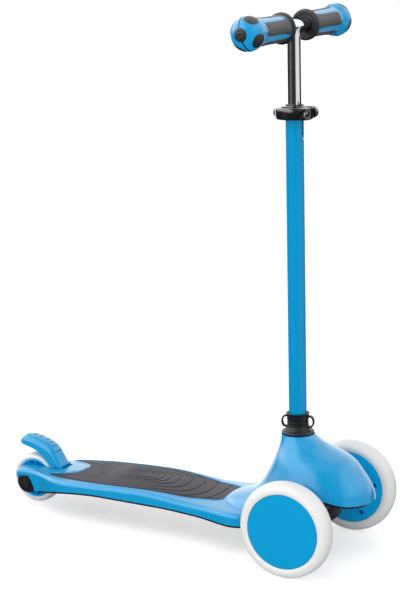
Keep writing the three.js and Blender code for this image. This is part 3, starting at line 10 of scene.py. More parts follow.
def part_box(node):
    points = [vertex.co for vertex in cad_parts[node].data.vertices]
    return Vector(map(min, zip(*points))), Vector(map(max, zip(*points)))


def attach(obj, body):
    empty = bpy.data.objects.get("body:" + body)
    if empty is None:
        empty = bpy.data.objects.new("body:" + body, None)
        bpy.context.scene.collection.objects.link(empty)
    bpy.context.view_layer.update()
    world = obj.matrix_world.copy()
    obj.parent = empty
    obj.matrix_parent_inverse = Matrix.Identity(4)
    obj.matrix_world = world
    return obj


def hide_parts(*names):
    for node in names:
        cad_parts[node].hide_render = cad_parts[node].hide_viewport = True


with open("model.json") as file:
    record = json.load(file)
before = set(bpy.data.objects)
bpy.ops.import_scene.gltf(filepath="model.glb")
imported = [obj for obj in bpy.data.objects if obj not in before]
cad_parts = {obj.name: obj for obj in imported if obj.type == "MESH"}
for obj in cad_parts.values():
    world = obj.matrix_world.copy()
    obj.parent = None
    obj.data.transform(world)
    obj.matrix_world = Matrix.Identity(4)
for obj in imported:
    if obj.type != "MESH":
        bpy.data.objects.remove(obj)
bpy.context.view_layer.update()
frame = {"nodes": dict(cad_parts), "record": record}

# Measures of the whole scooter, in millimetres, with the front axle above the origin
AXLE_HEIGHT = 60.0
TRACK = 194.3
BASE = 419.4
REAR_RADIUS = 33.7
FOOT = (-32.3, 0.0, 150.5)
LEAN = math.radians(1.4)
AXLE_BORE = 4.1
OUTSIDE = 80.0
RIGHT = math.pi / 2
UP = np.array([0, 0, 1])
SIDES = (("left", 1), ("right", -1))

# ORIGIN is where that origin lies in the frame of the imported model, in metres
MM = 0.001
low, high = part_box("front_outer_bearing_left")
ORIGIN = np.array([(low[0] + high[0]) / 2, 0.0, (low[2] + high[2]) / 2 - AXLE_HEIGHT * MM])


# Placing

def turn_x(angle):
    return np.array(Matrix.Rotation(angle, 4, "X"))


def turn_y(angle):
    return np.array(Matrix.Rotation(angle, 4, "Y"))


def turn_z(angle):
    return np.array(Matrix.Rotation(angle, 4, "Z"))


def move(x, y, z):
    return np.array(Matrix.Translation((x, y, z)))


def span(side, near, far):
    """The stretch between two distances, on one side of the middle."""
    return (near, far) if side > 0 else (-far, -near)


COLUMN = move(*FOOT) @ turn_y(-LEAN)
REAR_AXLE = move(-BASE, 0, REAR_RADIUS) @ turn_x(-RIGHT)
PIN_X, PIN_Z = -377, 44.2
BRAKE_PIN = move(PIN_X, 0, PIN_Z) @ turn_x(-RIGHT)


# Curves

def around(count):
    """Angles that share out a full turn."""
    return [2 * math.pi * k / count for k in range(count)]


def squared(value, power):
    """A cosine or sine to a power, with its sign kept. Powers under 1 make an oval's corners squarer."""
    return math.copysign(abs(value) ** power, value)


def rounded(points, radius, steps=3, closed=True):
    """The outline with its corners rounded."""
    result = []
    count = len(points)
    for i, p in enumerate(points):
        if not closed and i in (0, count - 1):
            result.append(tuple(p))
            continue
        p = np.array(p, float)
        a, b = np.array(points[i - 1], float), np.array(points[(i + 1) % count], float)
        la, lb = np.linalg.norm(a - p), np.linalg.norm(b - p)
        size = min(radius, la * 0.45, lb * 0.45)
        start, end = p + (a - p) / la * size, p + (b - p) / lb * size
        for step in range(steps + 1):
            t = step / steps
            result.append(tuple((1 - t) ** 2 * start + 2 * t * (1 - t) * p + t * t * end))
    return result


def smooth_curve(xs, ys, at):
    """A monotone cubic through a table of places and values."""
    xs, ys = np.array(xs, float), np.array(ys, float)
    if xs[0] > xs[-1]:
        xs, ys = xs[::-1], ys[::-1]
    step = np.diff(xs)
    slope = np.diff(ys) / step
    ends = np.zeros(len(xs))
    ends[0], ends[-1] = slope[0], slope[-1]
    for i in range(1, len(xs) - 1):
        if slope[i - 1] * slope[i] > 0:
            w1, w2 = 2 * step[i] + step[i - 1], step[i] + 2 * step[i - 1]
            ends[i] = (w1 + w2) / (w1 / slope[i - 1] + w2 / slope[i])
    at = np.clip(np.array(at, float), xs[0], xs[-1])
    i = np.clip(np.searchsorted(xs, at) - 1, 0, len(xs) - 2)
    t = (at - xs[i]) / step[i]
    return ((1 + 2 * t) * (1 - t) ** 2 * ys[i] + t * (1 - t) ** 2 * step[i] * ends[i]
            + t * t * (3 - 2 * t) * ys[i + 1] + t * t * (t - 1) * step[i] * ends[i + 1])


def blurred(values):
    """The same row of values with its small bumps evened out."""
    for _ in range(14):
        values[1:-1] = (values[:-2] + 2 * values[1:-1] + values[2:]) / 4
    return values


# Making meshes

def make(name, points, faces, place=None, depths=None):
    """A mesh from points in millimetres. depths is how deep each point lies in a groove."""
    points = np.array(points, float).reshape(-1, 3)
    if place is not None:
        points = points @ place[:3, :3].T + place[:3, 3]
    mesh = bpy.data.meshes.new(name)
    mesh.from_pydata((points * MM + ORIGIN).tolist(), [], faces)
    if depths is not None:
        mesh.attributes.new("groove", "FLOAT", "POINT").data.foreach_set("value", depths)
    clean = bmesh.new()
    clean.from_mesh(mesh)
    bmesh.ops.remove_doubles(clean, verts=clean.verts, dist=0.001 * MM)
    bmesh.ops.recalc_face_normals(clean, faces=clean.faces)
    clean.to_mesh(mesh)
    clean.free()
    obj = bpy.data.objects.new(name, mesh)
    bpy.context.scene.collection.objects.link(obj)
    return obj


def grid_faces(rows, columns, wrapped=False, offset=0):
    faces = []
    for row in range(rows - 1):
        for column in range(columns if wrapped else columns - 1):
            after = (column + 1) % columns
            a, b = offset + row * columns + column, offset + row * columns + after
            faces.append((a, b, b + columns, a + columns))
    return faces


def rings_mesh(name, rings, place=None):
    """A skin over rings of points, each with the same count, closed at both ends."""
    count = len(rings[0])
    start = (len(rings) - 1) * count
    faces = grid_faces(len(rings), count, wrapped=True)
    faces.append(tuple(range(count)))
    faces.append(tuple(start + i for i in reversed(range(count))))
    return make(name, [p for ring in rings for p in ring], faces, place)


def loop_mesh(name, rings, place=None, whole=True):
    """A skin over rows of points that follow each other round a loop. whole closes each row as well."""
    count, steps = len(rings[0]), len(rings)
    faces = []
    for i in range(steps):
        after = (i + 1) % steps
        for k in range(count if whole else count - 1):
            m = (k + 1) % count
            faces.append((i * count + k, after * count + k, after * count + m, i * count + m))
    return make(name, [p for ring in rings for p in ring], faces, place)


def two_sheets(name, upper, lower, faces, edges, depths=None):
    """Two like sheets of points, with walls between them along runs of points."""
    count = len(upper)
    faces = faces + [tuple(count + i for i in reversed(face)) for face in faces]
    for edge in edges:
        faces += [(a, b, count + b, count + a) for a, b in zip(edge, edge[1:])]
    return make(name, [*upper, *lower], faces, depths=depths)


def between(name, first, second, place):
    """Two like outlines, joined into a solid."""
    count = len(first)
    faces = [tuple(range(count)), tuple(count + i for i in reversed(range(count)))]
    faces += [(i, (i + 1) % count, count + (i + 1) % count, count + i) for i in range(count)]
    return make(name, first + second, faces, place)


def prism(name, outline, low_y, high_y, place=None):
    """A side view of (x, z) points, made solid between two side planes."""
    return between(name, [(x, low_y, z) for x, z in outline], [(x, high_y, z) for x, z in outline], place)


def slab(name, outline, low_z, high_z, place=None):
    """A plan of (x, y) points, made solid between two levels."""
    return between(name, [(x, y, low_z) for x, y in outline], [(x, y, high_z) for x, y in outline], place)


def box_piece(name, x0, x1, y0, y1, z0, z1, place=None):
    return slab(name, [(x0, y0), (x1, y0), (x1, y1), (x0, y1)], z0, z1, place)


def on_axis(profile):
    return profile[0][0] == 0 and profile[-1][0] == 0


def lathe(name, profile, place=None, steps=96):
    """A closed loop of (radius, height), or one that starts and ends on the axis, turned about Z."""
    rings = [[(r * math.cos(a), r * math.sin(a), z) for r, z in profile] for a in around(steps)]
    return loop_mesh(name, rings, place, whole=not on_axis(profile))


def turned(name, profile, radius, place, steps=96):
    """The same with the profile's corners rounded."""
    return lathe(name, rounded(profile, radius, closed=not on_axis(profile)), place, steps)


def rod(name, radius, low_z, high_z, place=None, steps=64, round_off=0.0):
    profile = [(0, low_z), (radius, low_z), (radius, high_z), (0, high_z)]
    return turned(name, profile, round_off, place, steps) if round_off else lathe(name, profile, place, steps)


# Changing and finishing meshes

def settle(obj):
    """Applies the piece's modifiers to its mesh."""
    bpy.context.view_layer.update()
    view = obj.evaluated_get(bpy.context.evaluated_depsgraph_get())
    mesh = bpy.data.meshes.new_from_object(view)
    obj.modifiers.clear()
    old = obj.data
    obj.data = mesh
    bpy.data.meshes.remove(old)
    mesh.name = obj.name
    return obj


def drop(obj):
    mesh = obj.data
    bpy.data.objects.remove(obj)
    bpy.data.meshes.remove(mesh)


def carve(obj, *tools, how="DIFFERENCE"):
    for tool in tools:
        change = obj.modifiers.new("change", "BOOLEAN")
        change.operation = how
        change.solver = "EXACT"
        change.object = tool
        settle(obj)
        drop(tool)
    return obj


def soften(obj, width, segments=2, angle=35):
    change = obj.modifiers.new("soften", "BEVEL")
    change.width = width * MM
    change.segments = segments
    change.limit_method = "ANGLE"
    change.angle_limit = math.radians(angle)
    change.use_clamp_overlap = True
    return settle(obj)


def fuse(name, *pieces):
    """Several meshes as one piece."""
    first = pieces[0]
    together = bmesh.new()
    for piece in pieces:
        together.from_mesh(piece.data)
    together.to_mesh(first.data)
    together.free()
    for piece in pieces[1:]:
        drop(piece)
    first.name = name
    first.data.name = name
    return first


def finish(obj, material, body, slot, *replaced, angle=32):
    obj.data.materials.clear()
    obj.data.materials.append(material)
    obj.data.shade_smooth()
    obj.data.set_sharp_from_angle(angle=math.radians(angle))
    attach(obj, body)
    if replaced:
        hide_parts(*replaced)


# Materials

DRIFT_SCALE = 14.0
GRAIN_DEPTH = 0.0002
COAT_ROUGHNESS = 0.06


def linear(colour):
    def one(v):
        v = v / 255
        return v / 12.92 if v <= 0.04045 else ((v + 0.055) / 1.055) ** 2.4
    return (*[one(v) for v in colour], 1.0)


def noise(tree, place, scale, detail):
    texture = tree.nodes.new("ShaderNodeTexNoise")
    texture.inputs["Scale"].default_value = scale
    texture.inputs["Detail"].default_value = detail
    tree.links.new(place.outputs["Object"], texture.inputs["Vector"])
    return texture.outputs["Fac"]


def surface(name, colour, second, rough, grain=900.0, bump=0.02, metal=0.0, coat=0.0, specular=0.5):
    """A procedural finish: a slow drift of colour, a roughness that varies, and a fine grain."""
    material = bpy.data.materials.new(name)
    material.use_nodes = True
    tree = material.node_tree
    shader = tree.nodes["Principled BSDF"]
    shader.inputs["Metallic"].default_value = metal
    shader.inputs["IOR"].default_value = 1.5
    shader.inputs["Specular IOR Level"].default_value = specular
    if coat:
        shader.inputs["Coat Weight"].default_value = coat
        shader.inputs["Coat Roughness"].default_value = COAT_ROUGHNESS
    place = tree.nodes.new("ShaderNodeTexCoord")
    mix = tree.nodes.new("ShaderNodeMix")
    mix.data_type = "RGBA"
    mix.inputs["A"].default_value = linear(colour)
    mix.inputs["B"].default_value = linear(second)
    tree.links.new(noise(tree, place, DRIFT_SCALE, 3), mix.inputs["Factor"])
    tree.links.new(mix.outputs["Result"], shader.inputs["Base Color"])
    fine = noise(tree, place, grain, 2)
    level = tree.nodes.new("ShaderNodeMapRange")
    level.inputs["To Min"].default_value = rough[0]
    level.inputs["To Max"].default_value = rough[1]
    tree.links.new(fine, level.inputs["Value"])
    tree.links.new(level.outputs["Result"], shader.inputs["Roughness"])
    relief = tree.nodes.new("ShaderNodeBump")
    relief.inputs["Strength"].default_value = bump
    relief.inputs["Distance"].default_value = GRAIN_DEPTH
    tree.links.new(fine, relief.inputs["Height"])
    tree.links.new(relief.outputs["Normal"], shader.inputs["Normal"])
    return material


def paint_groove_shade(material, colour):
    """Paints shade into the mat's grooves: their floors get a darker colour than their ridges, as painted
    shade.
    """
    tree = material.node_tree
    shader = tree.nodes["Principled BSDF"]
    depth = tree.nodes.new("ShaderNodeAttribute")
    depth.attribute_name = "groove"
    darker = tree.nodes.new("ShaderNodeMix")
    darker.data_type = "RGBA"
    darker.inputs["B"].default_value = linear(colour)
    tree.links.new(depth.outputs["Fac"], darker.inputs["Factor"])
    tree.links.new(shader.inputs["Base Color"].links[0].from_socket, darker.inputs["A"])
    tree.links.new(darker.outputs["Result"], shader.inputs["Base Color"])


blue = surface("moulded_blue", (0, 157, 214), (0, 152, 209), (0.17, 0.22), specular=0.4)
cap_blue = surface("disc_cap_blue", (0, 157, 213), (0, 153, 209), (0.3, 0.36), specular=0.12)
# The wheels' cores get a lighter blue than the body, so that the far core, which lies in shade, reads
# brighter: painted light.
lightened_core_blue = surface("core_blue_painted_light", (0, 176, 240), (0, 166, 230), (0.3, 0.38), specular=0.2)
tyre_white = surface("cast_white_tyre", (238, 238, 237), (231, 231, 230), (0.38, 0.5), bump=0.05)
mat_grey = surface("ridged_mat", (54, 53, 60), (46, 45, 52), (0.5, 0.62), 1500, bump=0.25, specular=0.15)
# The grooves' floors get a darker colour: painted shade.
paint_groove_shade(mat_grey, (26, 26, 30))
black = surface("black_plastic", (24, 25, 29), (18, 19, 23), (0.4, 0.52), bump=0.1, specular=0.25)
gloss_black = surface("gloss_black_plastic", (22, 23, 26), (18, 19, 22), (0.12, 0.2), coat=0.6)
grip_blue = surface("soft_blue_grip", (0, 154, 212), (0, 148, 206), (0.24, 0.3), bump=0.05, specular=0.4)
grip_dark = surface("soft_dark_grip", (58, 60, 63), (50, 52, 55), (0.55, 0.7), 2200, bump=0.3)
grip_black = surface("black_rubber", (30, 31, 34), (24, 25, 28), (0.45, 0.6), 1800, bump=0.15)
paint_blue = surface("painted_tube_blue", (0, 150, 206), (0, 146, 202), (0.16, 0.2), specular=0.18)
chrome = surface("bright_chrome", (214, 214, 216), (206, 206, 209), (0.05, 0.09), bump=0.004, metal=1.0)
steel = surface("plated_steel", (164, 166, 170), (150, 152, 157), (0.28, 0.38), bump=0.03, metal=1.0)
bush_rubber = surface("bush_rubber", (66, 62, 56), (56, 53, 48), (0.45, 0.6), bump=0.05)

slot_finish = {
    "blue_body": blue, "blue_core": lightened_core_blue, "white_tyre": tyre_white, "grey_mat": mat_grey,
    "black_plastic": black, "gloss_black": gloss_black, "grip_blue": grip_blue, "grip_panel": grip_dark,
    "blue_paint": paint_blue, "chrome_tube": chrome, "amber_bush": bush_rubber, "plated_steel": steel,
}
for entry in frame["record"]["subparts"]:
    materials = frame["nodes"][entry["node"]].data.materials
    materials.clear()
    materials.append(slot_finish[entry["material_slot"]])


# Camera. Its place is in millimetres. FOCAL_PIXELS is its focal length in a picture PICTURE_HEIGHT high.

CAMERA_PLACE = (944.2, -2038.6, 835.6)
CAMERA_AZIMUTH, CAMERA_PITCH = math.radians(28.69), math.radians(12.70)
FOCAL_PIXELS, PICTURE_HEIGHT = 1890, 589
SENSOR = 36

camera_data = bpy.data.cameras.new("camera")
camera = bpy.data.objects.new("camera", camera_data)
bpy.context.scene.collection.objects.link(camera)
bpy.context.scene.camera = camera
camera.location = Vector(np.array(CAMERA_PLACE) * MM + ORIGIN)
camera.rotation_euler = (RIGHT - CAMERA_PITCH, 0, CAMERA_AZIMUTH)
camera_data.sensor_width = SENSOR
camera_data.lens = FOCAL_PIXELS / PICTURE_HEIGHT * SENSOR
camera_data.clip_start = 0.05
camera_data.clip_end = 50


# Light. Mirror-like surfaces see a studio: soft boxes overhead, a white wall behind the object, low walls
# behind and on the right, a card on the left, and little light in front and below.

AWAY = (-math.sin(CAMERA_AZIMUTH), math.cos(CAMERA_AZIMUTH), 0)
RIGHTWARD = (math.cos(CAMERA_AZIMUTH), math.sin(CAMERA_AZIMUTH), 0)
world = bpy.data.worlds.new("studio")
bpy.context.scene.world = world
world.use_nodes = True
world.cycles.sampling_method = "NONE"
sky = world.node_tree
for item in list(sky.nodes):
    sky.nodes.remove(item)


def sky_node(kind, **values):
    made = sky.nodes.new(kind)
    for name, value in values.items():
        setattr(made, name, value)
    return made


def along(direction):
    dot = sky_node("ShaderNodeVectorMath", operation="DOT_PRODUCT")
    dot.inputs[1].default_value = direction
    sky.links.new(ray.outputs["Generated"], dot.inputs[0])
    return dot.outputs["Value"]


def ramp(value, start, end, at_start, at_end):
    """A strength that goes from one level to another while the direction's value goes from start to end."""
    level = sky_node("ShaderNodeMapRange", interpolation_type="SMOOTHSTEP")
    numbers = {"From Min": start, "From Max": end, "To Min": at_start, "To Max": at_end}
    for name, number in numbers.items():
        level.inputs[name].default_value = number
    sky.links.new(value, level.inputs["Value"])
    return level.outputs["Result"]


def joined(operation, first, *others):
    for other in others:
        step = sky_node("ShaderNodeMath", operation=operation)
        sky.links.new(first, step.inputs[0])
        sky.links.new(other, step.inputs[1])
        first = step.outputs["Value"]
    return first


def product(*values):
    return joined("MULTIPLY", *values)


def glow(strength, value=None):
    light = sky_node("ShaderNodeBackground")
    light.inputs["Color"].default_value = (1, 1, 1, 1)
    light.inputs["Strength"].default_value = strength
    if value:
        sky.links.new(value, light.inputs["Strength"])
    return light.outputs["Background"]


def choose(switch, off, on):
    mix = sky_node("ShaderNodeMixShader")
    sky.links.new(switch, mix.inputs["Fac"])
    sky.links.new(off, mix.inputs[1])
    sky.links.new(on, mix.inputs[2])
    return mix.outputs["Shader"]


ray = sky_node("ShaderNodeTexCoord")
height, away, rightward = along((0, 0, 1)), along(AWAY), along(RIGHTWARD)
left_sky = product(ramp(rightward, -0.15, -0.52, 0, 4.6), ramp(height, -0.05, 0.3, 0, 1))
right_sky = product(ramp(rightward, 0.2, 0.65, 0, 3.0), ramp(height, 0.1, 0.5, 0, 1))
high_sky = ramp(height, 0.45, 0.95, 0, 1.3)
wall = product(ramp(away, -0.1, 0.35, 0, 2.1), ramp(height, -0.03, 0.05, 0, 1))
low_wall = product(ramp(away, 0.72, 0.86, 0, 1.7), ramp(height, -0.45, -0.3, 0, 1))
side_wall = product(ramp(rightward, 0.36, 0.42, 0, 1.1), ramp(height, -0.6, -0.45, 0, 1),
                    ramp(away, 0.3, 0.38, 1, 0.12))
left_card = product(ramp(rightward, -0.6, -0.76, 0, 0.2), ramp(away, -0.05, -0.25, 0, 1))
front = ramp(height, 0, 0.2, 0.045, 0.2)
mirrored = joined("MAXIMUM", left_sky, right_sky, high_sky, wall, low_wall, side_wall, left_card, front)
path = sky_node("ShaderNodeLightPath")
lit = choose(path.outputs["Is Glossy Ray"], glow(0.6), glow(1.0, mirrored))
out = sky_node("ShaderNodeOutputWorld")
sky.links.new(choose(path.outputs["Is Camera Ray"], lit, glow(1.0)), out.inputs["Surface"])


def lamp(name, place, target, size, power):
    """A square lamp that mirror-like surfaces don't show. Places are in metres."""
    data = bpy.data.lights.new(name, "AREA")
    data.shape = "RECTANGLE"
    data.size = size
    data.size_y = size
    data.energy = power
    obj = bpy.data.objects.new(name, data)
    bpy.context.scene.collection.objects.link(obj)
    obj.location = place
    obj.rotation_euler = (Vector(target) - Vector(place)).to_track_quat("-Z", "Y").to_euler()
    obj.visible_glossy = False


lamp("key", (0.2, -1.4, 2.4), (0, 0, 0.2), 1.6, 15)
lamp("side", (-2.2, -1.0, 1.2), (0, 0, 0.2), 1.4, 8)
lamp("front", (0.8, -1.9, 0.5), (0, 0, 0.15), 0.9, 11)


# Floor: white to the camera, apart from the shadow on it, and mirror-like surfaces don't see it

FLOOR_REACH = 14000.0
FLOOR_GLOW = 0.56
FLOOR_DROP = 0.0003


def floor_material():
    material = bpy.data.materials.new("floor_finish")
    material.use_nodes = True
    material.cycles.emission_sampling = "NONE"
    tree = material.node_tree
    shader = tree.nodes["Principled BSDF"]
    shader.inputs["Base Color"].default_value = (0.8, 0.8, 0.8, 1)
    shader.inputs["Roughness"].default_value = 0.95
    shader.inputs["Specular IOR Level"].default_value = 0.0
    shader.inputs["Emission Color"].default_value = (1, 1, 1, 1)
    seen = tree.nodes.new("ShaderNodeLightPath")
    glare = tree.nodes.new("ShaderNodeMath")
    glare.operation = "MULTIPLY"
    glare.inputs[1].default_value = FLOOR_GLOW
    tree.links.new(seen.outputs["Is Camera Ray"], glare.inputs[0])
    tree.links.new(glare.outputs[0], shader.inputs["Emission Strength"])
    return material


floor_corners = [(x * FLOOR_REACH, y * FLOOR_REACH, 0) for x, y in ((-1, -1), (1, -1), (1, 1), (-1, 1))]
floor = make("floor", floor_corners, [(0, 1, 2, 3)])
floor.location.z = -ORIGIN[2] - FLOOR_DROP
floor.data.materials.append(floor_material())
floor.visible_glossy = False


# Form of the body. The deck's rows are place, half width and height of the top. The head's are level, then
# rear, widest place, front and half width, as shares. The edge's are place and height, as shares.

DECK = [(-439, 28, 47.5), (-431, 28.7, 50), (-419, 29.9, 51), (-405, 32.5, 51), (-390, 38.5, 51),
        (-380, 44, 51.1), (-367, 50.5, 51.5), (-351, 55, 52.2), (-330, 57.3, 53.6), (-299, 57.6, 55.2),
        (-263, 57.3, 57), (-230, 57, 57.9), (-205, 57, 57.2), (-180, 57, 55.3), (-158, 57.5, 53.9),
        (-137, 60, 54), (-121, 64, 54.6), (-105, 68.5, 55.2), (-91, 71, 55.6), (-81, 69.5, 55.6),
        (-73, 64, 55), (-66, 55, 54)]
DECK_EDGE, DECK_CROWN = 6.0, 2.6
HEAD_SHARES = [(1, -0.748, -0.455, -0.162, 0.356), (0.973, -0.741, -0.451, -0.092, 0.393),
               (0.947, -0.746, -0.423, -0.011, 0.429), (0.92, -0.763, -0.366, 0.07, 0.458),
               (0.894, -0.776, -0.31, 0.23, 0.532), (0.857, -0.793, -0.254, 0.461, 0.653),
               (0.811, -0.827, -0.197, 0.637, 0.747), (0.757, -0.88, -0.155, 0.727, 0.795),
               (0.698, -0.938, -0.113, 0.825, 0.853), (0.631, -1.014, -0.085, 0.92, 0.913),
               (0.578, -1.076, -0.07, 0.975, 0.956), (0.532, -1.149, -0.085, 0.993, 0.981),
               (0.498, -1.232, -0.099, 1, 0.997), (0.462, -1.352, -0.141, 0.993, 1.017),
               (0.432, -1.577, -0.254, 0.986, 1.043), (0.379, -1.845, -0.465, 0.972, 1.094),
               (0.1, -1.845, -0.465, 0.972, 1.094)]
NECK_TOP, HEAD_FRONT, HEAD_HALF = 150.5, 71.0, 58.5
EDGE_SHARES = [(-1.06, 0.389), (-0.985, 0.405), (-0.963, 0.421), (-0.918, 0.5), (-0.86, 0.615),
               (-0.77, 0.71), (-0.69, 0.741), (-0.48, 0.741), (-0.36, 0.712), (-0.26, 0.7),
               (-0.186, 0.708), (-0.152, 0.799), (-0.12, 1.073), (-0.088, 1.336), (-0.045, 1.467),
               (0.024, 1.483), (0.067, 1.457), (0.1, 1.388), (0.131, 1.346), (0.2, 1.33)]
EDGE_X = [BASE * x for x, _ in EDGE_SHARES]
EDGE_Z = [58 * z for _, z in EDGE_SHARES]
FLOOR_OF_LOFTS = 15.0
BODY_WALL = 3

# Levels under and over the rear of the body, and a place behind it, where cutting boxes end
UNDER, OVER, BEHIND = -4, 62, -443


def deck_half(x):
    return smooth_curve([row[0] for row in DECK], [row[1] for row in DECK], x)


def deck_top(x):
    return smooth_curve([row[0] for row in DECK], [row[2] for row in DECK], x)


def deck_level(x, y):
    """The height of the crowned deck at a place."""
    return deck_top(x) + DECK_CROWN * (1 - (y / (deck_half(x) - DECK_EDGE)) ** 2)


def crown_row(x, half, top, shares):
    flat = half - DECK_EDGE
    return [(x, flat * s, top + DECK_CROWN * (1 - s * s)) for s in shares]


def deck_loft(name, inset):
    corner = [math.radians(a) for a in range(0, 91, 10)]
    places = np.linspace(DECK[0][0] + inset, DECK[-1][0], 150)
    rings = []
    for x, half, top in zip(places, deck_half(places) - inset, deck_top(places) - inset):
        flat, edge = half - DECK_EDGE, top - DECK_EDGE
        right = [(x, -(flat + DECK_EDGE * math.cos(a)), edge + DECK_EDGE * math.sin(a)) for a in corner]
        left = [(x, -y, z) for _, y, z in reversed(right)]
        crown = crown_row(x, half, top, np.linspace(-1, 1, 15)[1:-1])
        rings.append([*right, *crown, *left, (x, half, FLOOR_OF_LOFTS), (x, -half, FLOOR_OF_LOFTS)])
    return rings_mesh(name, rings)


def head_loft(name, inset):
    table = np.array(HEAD_SHARES)
    levels = np.concatenate([np.linspace(NECK_TOP - inset, 56, 60), [FLOOR_OF_LOFTS]])
    columns = [blurred(smooth_curve(NECK_TOP * table[:, 0], table[:, k], levels)) for k in (1, 2, 3, 4)]
    rings = []
    for z, rear, widest, foremost, half in zip(levels, *columns):
        middle = HEAD_FRONT * widest
        ahead = HEAD_FRONT * foremost - inset - middle
        behind = middle - (HEAD_FRONT * rear + inset)
        wide = HEAD_HALF * half - inset
        ring = []
        for a in around(96):
            reach = ahead if math.cos(a) > 0 else behind
            ring.append((middle + reach * math.cos(a), wide * math.sin(a), z))
        rings.append(ring)
    if not inset:
        rings.insert(0, [(x, y, NECK_TOP + 4) for x, y, _ in rings[0]])
    return rings_mesh(name, rings)


def beyond_edge(name, gap, level):
    """All that lies between the body's lower edge, lowered by a gap, and a level."""
    xs = np.linspace(EDGE_X[0], EDGE_X[-1], 160)
    zs = smooth_curve(EDGE_X, EDGE_Z, xs) - gap
    outline = [(-600, level), (-600, zs[0]), *zip(xs, zs), (140, zs[-1]), (140, level)]
    return prism(name, outline, -OUTSIDE, OUTSIDE)


def wheel_well(name):
    radius, half = REAR_RADIUS + 4, 14.4
    well = rod(name, radius, -half, half, REAR_AXLE, 96)
    rear = box_piece("rear", BEHIND, -BASE, -half, half, UNDER, OVER)
    above = box_piece("above", -BASE, -BASE + radius * 0.6, -half, half, REAR_RADIUS, OVER)
    return carve(well, rear, above, how="UNION")


def arm_ends(name):
    """What is cut off behind the fork's rounded ends."""
    radius = 14.7
    rest = box_piece(name, BEHIND, -BASE + radius * 0.6, -OUTSIDE, OUTSIDE, UNDER, OVER)
    keep = rod("keep", radius, -OUTSIDE, OUTSIDE, REAR_AXLE, 96)
    upper = box_piece("upper", -BASE - radius * 1.25, -BASE + radius, -OUTSIDE, OUTSIDE,
                      REAR_RADIUS + radius * 0.3, 58)
    return carve(rest, keep, upper)


def cap_form(name, radius, inner, outer, gap):
    """An end cap under the arm: a disc below one line that falls forwards and one that rises to it."""
    disc = rod(name, radius, inner, outer, REAR_AXLE, 64)
    for slope, x, z in ((math.radians(55.4), -411.8, 34.3), (math.radians(-10), -423.0, 42.0)):
        place = move(x - math.sin(slope) * gap, 0, z - math.cos(slope) * gap) @ turn_y(slope)
        lower = box_piece("lower", -60, 60, inner - 4, outer + 4, -60, 0, place)
        disc = carve(disc, lower, how="INTERSECT")
    return disc


def axle_bore():
    return rod("bore", AXLE_BORE, -OUTSIDE, OUTSIDE, REAR_AXLE, 32)


# Outline of the mat, in shares of its length and half width. Behind, a tongue of the deck runs into it.

MAT_SHARES = [(0, 0.17), (0.002, 0.35), (0.011, 0.49), (0.031, 0.608), (0.056, 0.656), (0.089, 0.692),
              (0.141, 0.742), (0.184, 0.808), (0.262, 0.873), (0.34, 0.923), (0.417, 0.967), (0.495, 0.99),
              (0.592, 1), (0.728, 0.981), (0.806, 0.948), (0.883, 0.892), (0.953, 0.81), (1, 0.719)]
MAT_FRONT, MAT_REAR, MAT_TONGUE, MAT_HALF = -121.6, -380.0, -343.5, 48.0
MAT_LENGTH = MAT_REAR - MAT_FRONT
TONGUE_HALF, TONGUE_POWER = MAT_HALF * 0.67, 3.2


def mat_half(shares):
    return MAT_HALF * smooth_curve([s for s, _ in MAT_SHARES], [h for _, h in MAT_SHARES], shares)


def mat_outline(grow, steps=90):
    shares = np.linspace(0, 1, steps)
    side = [(MAT_FRONT + MAT_LENGTH * s + grow * (1 - 2 * s), half + grow)
            for s, half in zip(shares, mat_half(shares))]
    rear = [(MAT_TONGUE + (MAT_REAR - MAT_TONGUE) * abs(s) ** TONGUE_POWER - grow,
             (TONGUE_HALF - grow * 2) * s) for s in np.linspace(1, -1, 41)]
    return side + rear + [(x, -y) for x, y in reversed(side)]


def mat_bead(name):
    """The low bead on the deck round the mat."""
    steps = 260
    line = mat_outline(2.2, 120)
    line = np.array(line + line[:1])
    lengths = np.concatenate([[0], np.cumsum(np.hypot(*np.diff(line, axis=0).T))])
    places = np.linspace(0, lengths[-1], steps + 1)[:-1]
    xs, ys = np.interp(places, lengths, line[:, 0]), np.interp(places, lengths, line[:, 1])
    for _ in range(3):
        xs = (np.roll(xs, 1) + xs * 2 + np.roll(xs, -1)) / 4
        ys = (np.roll(ys, 1) + ys * 2 + np.roll(ys, -1)) / 4
    zs = deck_level(xs, ys) - 0.35
    rings = []
    for i in range(steps):
        ahead = np.array([xs[(i + 1) % steps] - xs[i - 1], ys[(i + 1) % steps] - ys[i - 1], 0])
        ahead /= np.linalg.norm(ahead)
        outwards = np.array([-ahead[1], ahead[0], 0])
        middle = np.array([xs[i], ys[i], zs[i]])
        rings.append([middle + math.cos(a) * outwards + math.sin(a) * UP for a in around(8)])
    return loop_mesh(name, rings)


def mat_floor(name):
    """Everything under the floor of the mat's pocket."""
    depth = 1.6
    xs = np.linspace(MAT_REAR - 12, MAT_FRONT + 12, 120)
    shares = np.linspace(-1, 1, 21)
    upper = []
    for x, half, top in zip(xs, deck_half(xs), deck_top(xs)):
        upper += [(x, y, z - depth) for x, y, z in crown_row(x, half, top, shares)]
    lower = [(x, y, 20) for x, y, _ in upper]
    rows, columns = len(xs), len(shares)
    edge = [r * columns for r in range(rows)]
    edge += [(rows - 1) * columns + c for c in range(1, columns)]
    edge += [r * columns + columns - 1 for r in reversed(range(rows - 1))]
    edge += list(reversed(range(1, columns - 1)))
    return two_sheets(name, upper, lower, grid_faces(rows, columns), [edge + edge[:1]])


# Body

def body_form():
    """Deck and head as one skin, blended where they meet."""
    body = carve(deck_loft("body_skin", 0), head_loft("head", 0), how="UNION")
    change = body.modifiers.new("remesh", "REMESH")
    change.mode = "VOXEL"
    change.voxel_size = 1.7 * MM
    change = body.modifiers.new("smooth", "SMOOTH")
    change.factor = 0.5
    change.iterations = 10
    return settle(body)


